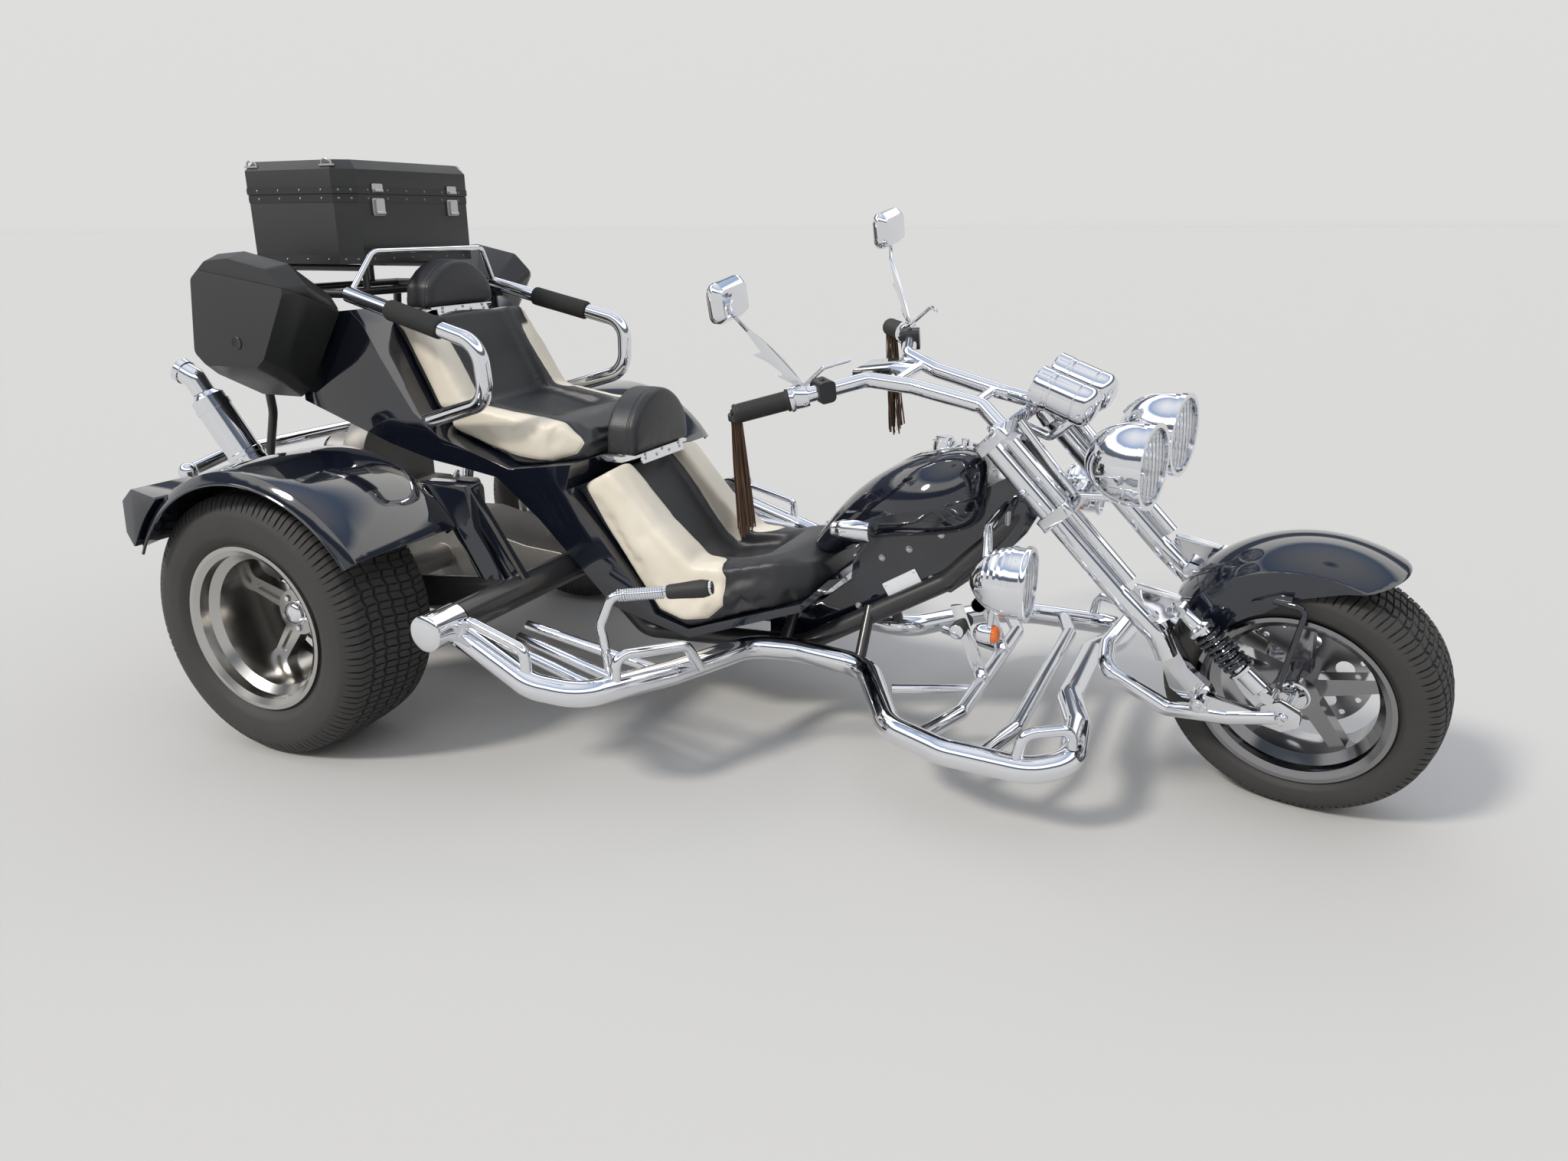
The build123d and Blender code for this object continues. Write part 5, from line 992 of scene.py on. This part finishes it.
# Mirror glasses on the riders' side
mirror = block(rounded(108, 82, 22, 8), -1.2, 0.2, at(1118, 345, 1178), Y, Z, X)
on_steering("mirror_glasses", "mirror", pair(mirror))

# Foam sleeves on the grab rails
foam_low, foam_high = at(84, 313.5, 1063), at(262, 330, 1020)
run = (foam_high - foam_low).length * 1000
sleeve = [(0, 20.8), (0, 23), (3, 26), (8, 27.3), (run / 2, 27.0), (run - 8, 27.3), (run - 3, 26),
          (run, 23), (run, 20.8)]
foam = lathe(sleeve, foam_low, foam_high - foam_low, 40)
sleeves = on_chassis("rail_sleeves", "foam", pair(foam))
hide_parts("rail_foams")

# ---------- plates, bolts and trim ----------
plate_u = Vector((82, 0, 49)).normalized()
plate_v = Vector((-plate_u.z, 0, plate_u.x))
plate_mid = at(1406, -57.5, 407)
plate = block(rounded(98, 46, 3), 0, 1.8, plate_mid, plate_u, plate_v, -Y)
on_chassis("blank_plate", "plate", plate, smooth=False)
screws = [plate_mid + (plate_u * a + plate_v * b) * MM - Y * 0.0018
          for a, b in ((-42, 16), (42, 16), (42, -16), (-42, -16))]
bolts("plate_screws", screws, -Y, 2.4, 1.4, "chassis", hexagon=False)
spine_bolts = [(at(x, side * 56.5, z), Y * side)
               for x, z in ((1180, 250), (1290, 335), (1420, 500), (1500, 545), (1560, 480),
                            (1640, 560), (1250, 400), (1350, 470), (1480, 430))
               for side in SIDES]
bolts("backbone_bolts", spine_bolts, Y, 7, 6, "chassis")
screws = [at(x, y, z) for x, z, half in ((62.5, 1051.8, 142), (695.5, 689.8, 150))
          for y in (-0.6 * half, 0.6 * half, 0)]
bolts("pad_screws", screws, X, 4.5, 2.5, "chassis", hexagon=False)
lean, slope = Vector((0.966, 0, 0.26)), Vector((-0.26, 0, 0.966))
strips, strip_screws = [], []
for x, z, half in ((61.5, 1042, 108), (694.5, 680, 112)):
    spot = at(x, 0, z)
    strips.append(block(rounded(2 * half, 27, 5), 0, 3, spot, Y, slope, lean))
    strip_screws += [spot + lean * 0.003 + Y * half * share * MM
                     for share in (-0.82, -0.3, 0.3, 0.82)]
on_chassis("pad_strips", "chrome", *strips)
bolts("strip_screws", strip_screws, lean, 5.0, 2.5, "chassis", hexagon=False)
cap = [(-0.2, 0), (-0.2, 42.6), (2, 42.8), (6, 42.2), (10, 38), (13, 26), (14.5, 0)]
on_chassis("bar_end_caps", "chrome", pair(lathe(cap, at(540, 802, 405), Y, 56)))
heads = [(steered(x, side * y, z), TURN_WAY @ (Y * side))
         for x, y, z in ((2051, 136.5, 468), (2087, 136.5, 498), (2140, 121.5, 284),
                         (2072, 121.5, 430), (2166, 168.2, 284), (FRONT_X, 160.2, FRONT_Z))
         for side in SIDES]
bolts("fork_bolts", heads, Y, 9, 8, "steering", "chrome")
stem_nut = [(0, 0), (0, 24), (3, 25), (14, 24), (18, 18), (19, 0)]
stem_top = FOOT + UP * (808.2 / cos(RAKE)) * MM
keep("stem_nut", *lathe(stem_nut, stem_top, UP, 36), "steering", "chrome")
# Fender edge rolls
roll = [at(62, 855.5, 335) + around(X, Z, radians(34 + 118 * k / 48), 0.378) for k in range(49)]
on_chassis("fender_rolls", "gloss", pair(pipe(roll, 3.6, 10)))

# ---------- engine dressing ----------
REARWARD = -X
cast, tins, bright = [], [], []
# Fan shroud's grille: rings and slanted spokes
fan_at = at(-332, 0, 600)
for r in (118, 100, 82, 66):
    grille = [(0, r - 3), (0, r), (3, r), (4, r - 1.5), (3, r - 3)]
    bright.append(lathe(grille, fan_at, REARWARD, 56))
for k in range(24):
    a = tau * k / 24
    spoke = [fan_at + Vector((-0.002, 0, 0)) + around(Y, Z, angle, radius)
             for angle, radius in ((a, 0.056), (a + 0.25, 0.122))]
    bright.append(pipe(spoke, 1.6, 6))
# Pulleys and belt behind the engine
pulley = solid((0, 60), (3, 64), (6, 60), (9, 52), (12, 52), (15, 60), (18, 64), (21, 60),
               (22, 40), (24, 16), (30, 14))
crank_at = at(-480, 0, 372)
for spot, size, steps in ((at(-470, 0, 600), 0.72, 48), (crank_at, 1.25, 56)):
    bright.append(lathe([(run, r * size) for run, r in pulley], spot, REARWARD, steps))
BELT_UP, BELT_R, CRANK_R = 0.228, 0.040, 0.068   # upper pulley's height, both pulleys' radii
belt = [BELT_UP * Z + around(Y, Z, pi * k / 18, BELT_R) for k in range(18)]
belt += [Vector((0, -BELT_R - (CRANK_R - BELT_R) * k / 12, BELT_UP - BELT_UP * k / 12))
         for k in range(12)]
belt += [around(Y, Z, pi + pi * k / 18, CRANK_R) for k in range(18)]
belt += [Vector((0, CRANK_R - (CRANK_R - BELT_R) * k / 12, BELT_UP * k / 12)) for k in range(12)]
# Air filter: round can with pleats over the carburettor
filter_rows = [(0, 0), (0, 62), (4, 66)]
for k in range(9):
    filter_rows += [(8 + 5 * k, 66), (10.5 + 5 * k, 62)]
filter_rows += [(54, 66), (58, 66), (62, 60), (64, 20), (70, 14), (74, 12), (74, 0)]
bright.append(lathe(filter_rows, at(-420, 0, 560), Z, 56))
tin = [(-120, 0), (-120, 6), (-70, 34), (70, 34), (120, 6), (120, 0), (66, 28), (-66, 28)]
plug = solid((0, 10), (16, 11), (22, 7), (30, 7))
for side in SIDES:
    # valve cover: rounded lid with a raised middle, held by a bail
    out = Y * side
    cover_at = at(-335, side * 330, 398)
    cast.append(block(rounded(250, 96, 26, 6), 0, 26, cover_at, X, Z, out))
    cast.append(block(rounded(206, 60, 20, 6), 26, 34, cover_at, X, Z, out))
    bail = [at(x, side * y, z) for x, y, z in ((-438, 332, 352), (-438, 366, 380), (-335, 368, 388),
                                               (-232, 366, 380), (-232, 332, 352))]
    bright.append(pipe(smooth_run(bail), 3, 8))
    # push-rod tubes, tin over the barrels, intake pipe and plug caps
    for x in (-405, -365, -300, -262):
        bright.append(pipe([at(x, side * 124, 322), at(x, side * 262, 340)], 11))
    tins.append(block(tin, 118, 262, at(-335, 0, 452), X, Z, out))
    intake = [at(x, side * y, z) for x, y, z in ((-420, 20, 520), (-420, 70, 545), (-390, 180, 520),
                                                 (-345, 270, 470))]
    bright.append(pipe(smooth_run(intake), 15, 16))
    for x in (-395, -275):
        cast.append(lathe(plug, at(x, side * 296, 462), Vector((0, side * 0.5, 1)), 16))
# Oil filler, oil filter and dipstick
filler = solid((0, 20), (60, 20), (62, 25), (70, 25), (74, 18))
bright.append(lathe(filler, at(-455, 78, 455), Vector((-0.45, 0.15, 1)), 28))
oil_filter = solid((0, 60), (6, 64), (60, 64), (66, 58))
cast.append(lathe(oil_filter, at(-474, -66, 372), REARWARD, 40))
on_chassis("engine_lids", "cast", *cast)
on_chassis("engine_tins", "tin", *tins)
on_chassis("engine_brightwork", "chrome", *bright)
belt_run = [crank_at + p - X * 0.0105 for p in belt]
on_chassis("fan_belt", "rubber", pipe(belt_run, 5.2, 8, closed=True))
stick = [at(-262, 128, 470), at(-262, 136, 560), at(-258, 138, 600)]
ring = [at(-258 + 9 * cos(a), 138, 610 + 12 * sin(a)) for a in [tau * k / 16 for k in range(16)]]
on_chassis("dipstick", "yellow", pipe(stick, 3.2, 10), pipe(ring, 2.6, 8, closed=True))
case_bolts = [at(-480, y, z) for y, z in ((-92, 300), (-40, 282), (30, 282), (92, 300), (100, 380),
                                          (100, 450), (-100, 450), (60, 492), (-60, 492))]
bolts("engine_bolts", case_bolts, REARWARD, 6, 6, "chassis")
# Muffler clamps, tips and mouths
foot, head = at(-335, 425, 605), at(-452, 468, 842)
clamps = [lathe([(s, 46.2), (s, 48.6), (s + 16, 48.6), (s + 16, 46.2)], foot, head - foot)
          for s in (40, (head - foot).length * 1000 - 52)]
tip_at, tip_way = at(-512, 478, 900), Vector((-42, 4, 20)).normalized()
tip = [(-14, 30.2), (-14, 33), (2, 34), (5, 32), (4, 27), (-20, 26.5), (-20, 0)]
clamps.append(lathe(tip, tip_at, tip_way, 40))
on_chassis("muffler_trim", "chrome", pair(*clamps))
# Black disc across each tip's bore: soot, and painted shade standing in for the pipe's depth
mouth = solid((0.4, 26.2), (-1, 26.2))
on_chassis("muffler_mouths", "soot", pair(lathe(mouth, tip_at, tip_way, 32)))
# Coil-wrapped handle of the hand lever with its knob
lever_a, lever_b = at(880, -572, 466), at(1000, -520, 476)
run = (lever_b - lever_a).length * 1000
wrap = helix(lever_a, (lever_b - lever_a).normalized(), run * 0.12, run * 0.92, 12.5, 18, 16)
on_chassis("lever_coil", "chrome", pipe(wrap, 2.6, 8))
knob = [(0, 0), (0, 15.5), (6, 17), (30, 18), (60, 20), (84, 21), (98, 18), (104, 10), (106, 0)]
knob_way = Vector((100, 22, 16)).normalized()
on_chassis("lever_knob", "rubber", lathe(knob, at(998, -521, 475.6), knob_way, 32))
# Ribs of the pedals' rolls
ribs = [(0, 0)]
for k in range(12):
    s = k * 7.5
    ribs += [(s, 17.3), (s + 2, 19.2), (s + 4.5, 19.2), (s + 6.5, 17.3)]
ribs.append((90, 0))
on_chassis("pedal_rubbers", "rubber", pair(lathe(ribs, at(1572, 60, 335), Y, 28)))

# ---------- camera, floor, light ----------
FOCAL_PIXELS, PHOTO_WIDTH, SENSOR = 1463.6, 2048, 36.0
CAMERA_AT = Vector((REAR_X + 2.218, -2.619, 1.272))
yaw, pitch, roll = radians(23.94), radians(17.72), radians(0.35)
SUN_WAY = (0.50, 0.80, -0.85)    # the way the light travels
SUN_STRENGTH, SUN_ANGLE, SUN_COLOR = 2.2, radians(9), (1.0, 0.95, 0.87)
FLOOR_SIZE, FLOOR_Z = 400, -0.0005
# World, sine of the elevation and colour: pale at the horizon, then a dark and a bright band
# for the chrome, and blue overhead.
SKY_BANDS = [(-0.10, (0.30, 0.30, 0.30)), (0.0, (0.724, 0.722, 0.718)),
             (0.32, (0.735, 0.733, 0.728)), (0.37, (0.11, 0.125, 0.15)),
             (0.52, (0.15, 0.18, 0.24)), (0.57, (1.70, 1.67, 1.60)), (0.73, (1.70, 1.68, 1.64)),
             (0.80, (0.34, 0.46, 0.70)), (1.0, (0.15, 0.24, 0.44))]

cam = bpy.data.cameras.new("camera")
cam.sensor_width = SENSOR
cam.lens = FOCAL_PIXELS / PHOTO_WIDTH * SENSOR
camera = put_in("camera", cam)
scene.camera = camera
forward = Vector((-sin(yaw) * cos(pitch), cos(yaw) * cos(pitch), -sin(pitch)))
right = Vector((cos(yaw), sin(yaw), 0))
down = forward.cross(right)
right, down = (cos(roll) * right + sin(roll) * down, -sin(roll) * right + cos(roll) * down)
facing = Matrix((right, -down, -forward)).transposed().to_4x4()
camera.matrix_world = Matrix.Translation(CAMERA_AT) @ facing

bpy.ops.mesh.primitive_plane_add(size=FLOOR_SIZE, location=(0, 0, FLOOR_Z))
floor = bpy.context.object
floor.name = "floor"
floor.data.materials.append(M["floor"])

world = bpy.data.worlds.new("world")
scene.world = world
world.use_nodes = True
tree = world.node_tree
bottom, top = SKY_BANDS[0][0], SKY_BANDS[-1][0]
way_in = add_node(tree, "SeparateXYZ",
                  sources={"Vector": add_node(tree, "TexCoord").outputs["Generated"]})
span = add_node(tree, "MapRange", {"From Min": bottom, "From Max": top},
                {"Value": way_in.outputs["Z"]})
ramp = add_node(tree, "ValToRGB", sources={"Fac": span.outputs["Result"]})
for k, (height, color) in enumerate(SKY_BANDS):
    place = (height - bottom) / (top - bottom)
    stops = ramp.color_ramp.elements
    stop = stops.new(place) if k else stops[0]
    stop.position = place
    stop.color = (*color, 1)
tree.links.new(ramp.outputs["Color"], tree.nodes["Background"].inputs["Color"])

# Sun from the camera's left, wide enough for soft shadows
lamp = bpy.data.lights.new("sun", "SUN")
lamp.energy, lamp.angle, lamp.color = SUN_STRENGTH, SUN_ANGLE, SUN_COLOR
sun = put_in("sun", lamp)
sun.rotation_mode = "QUATERNION"
sun.rotation_quaternion = Vector(SUN_WAY).normalized().to_track_quat("-Z", "Y")

scene.view_settings.view_transform = "Standard"
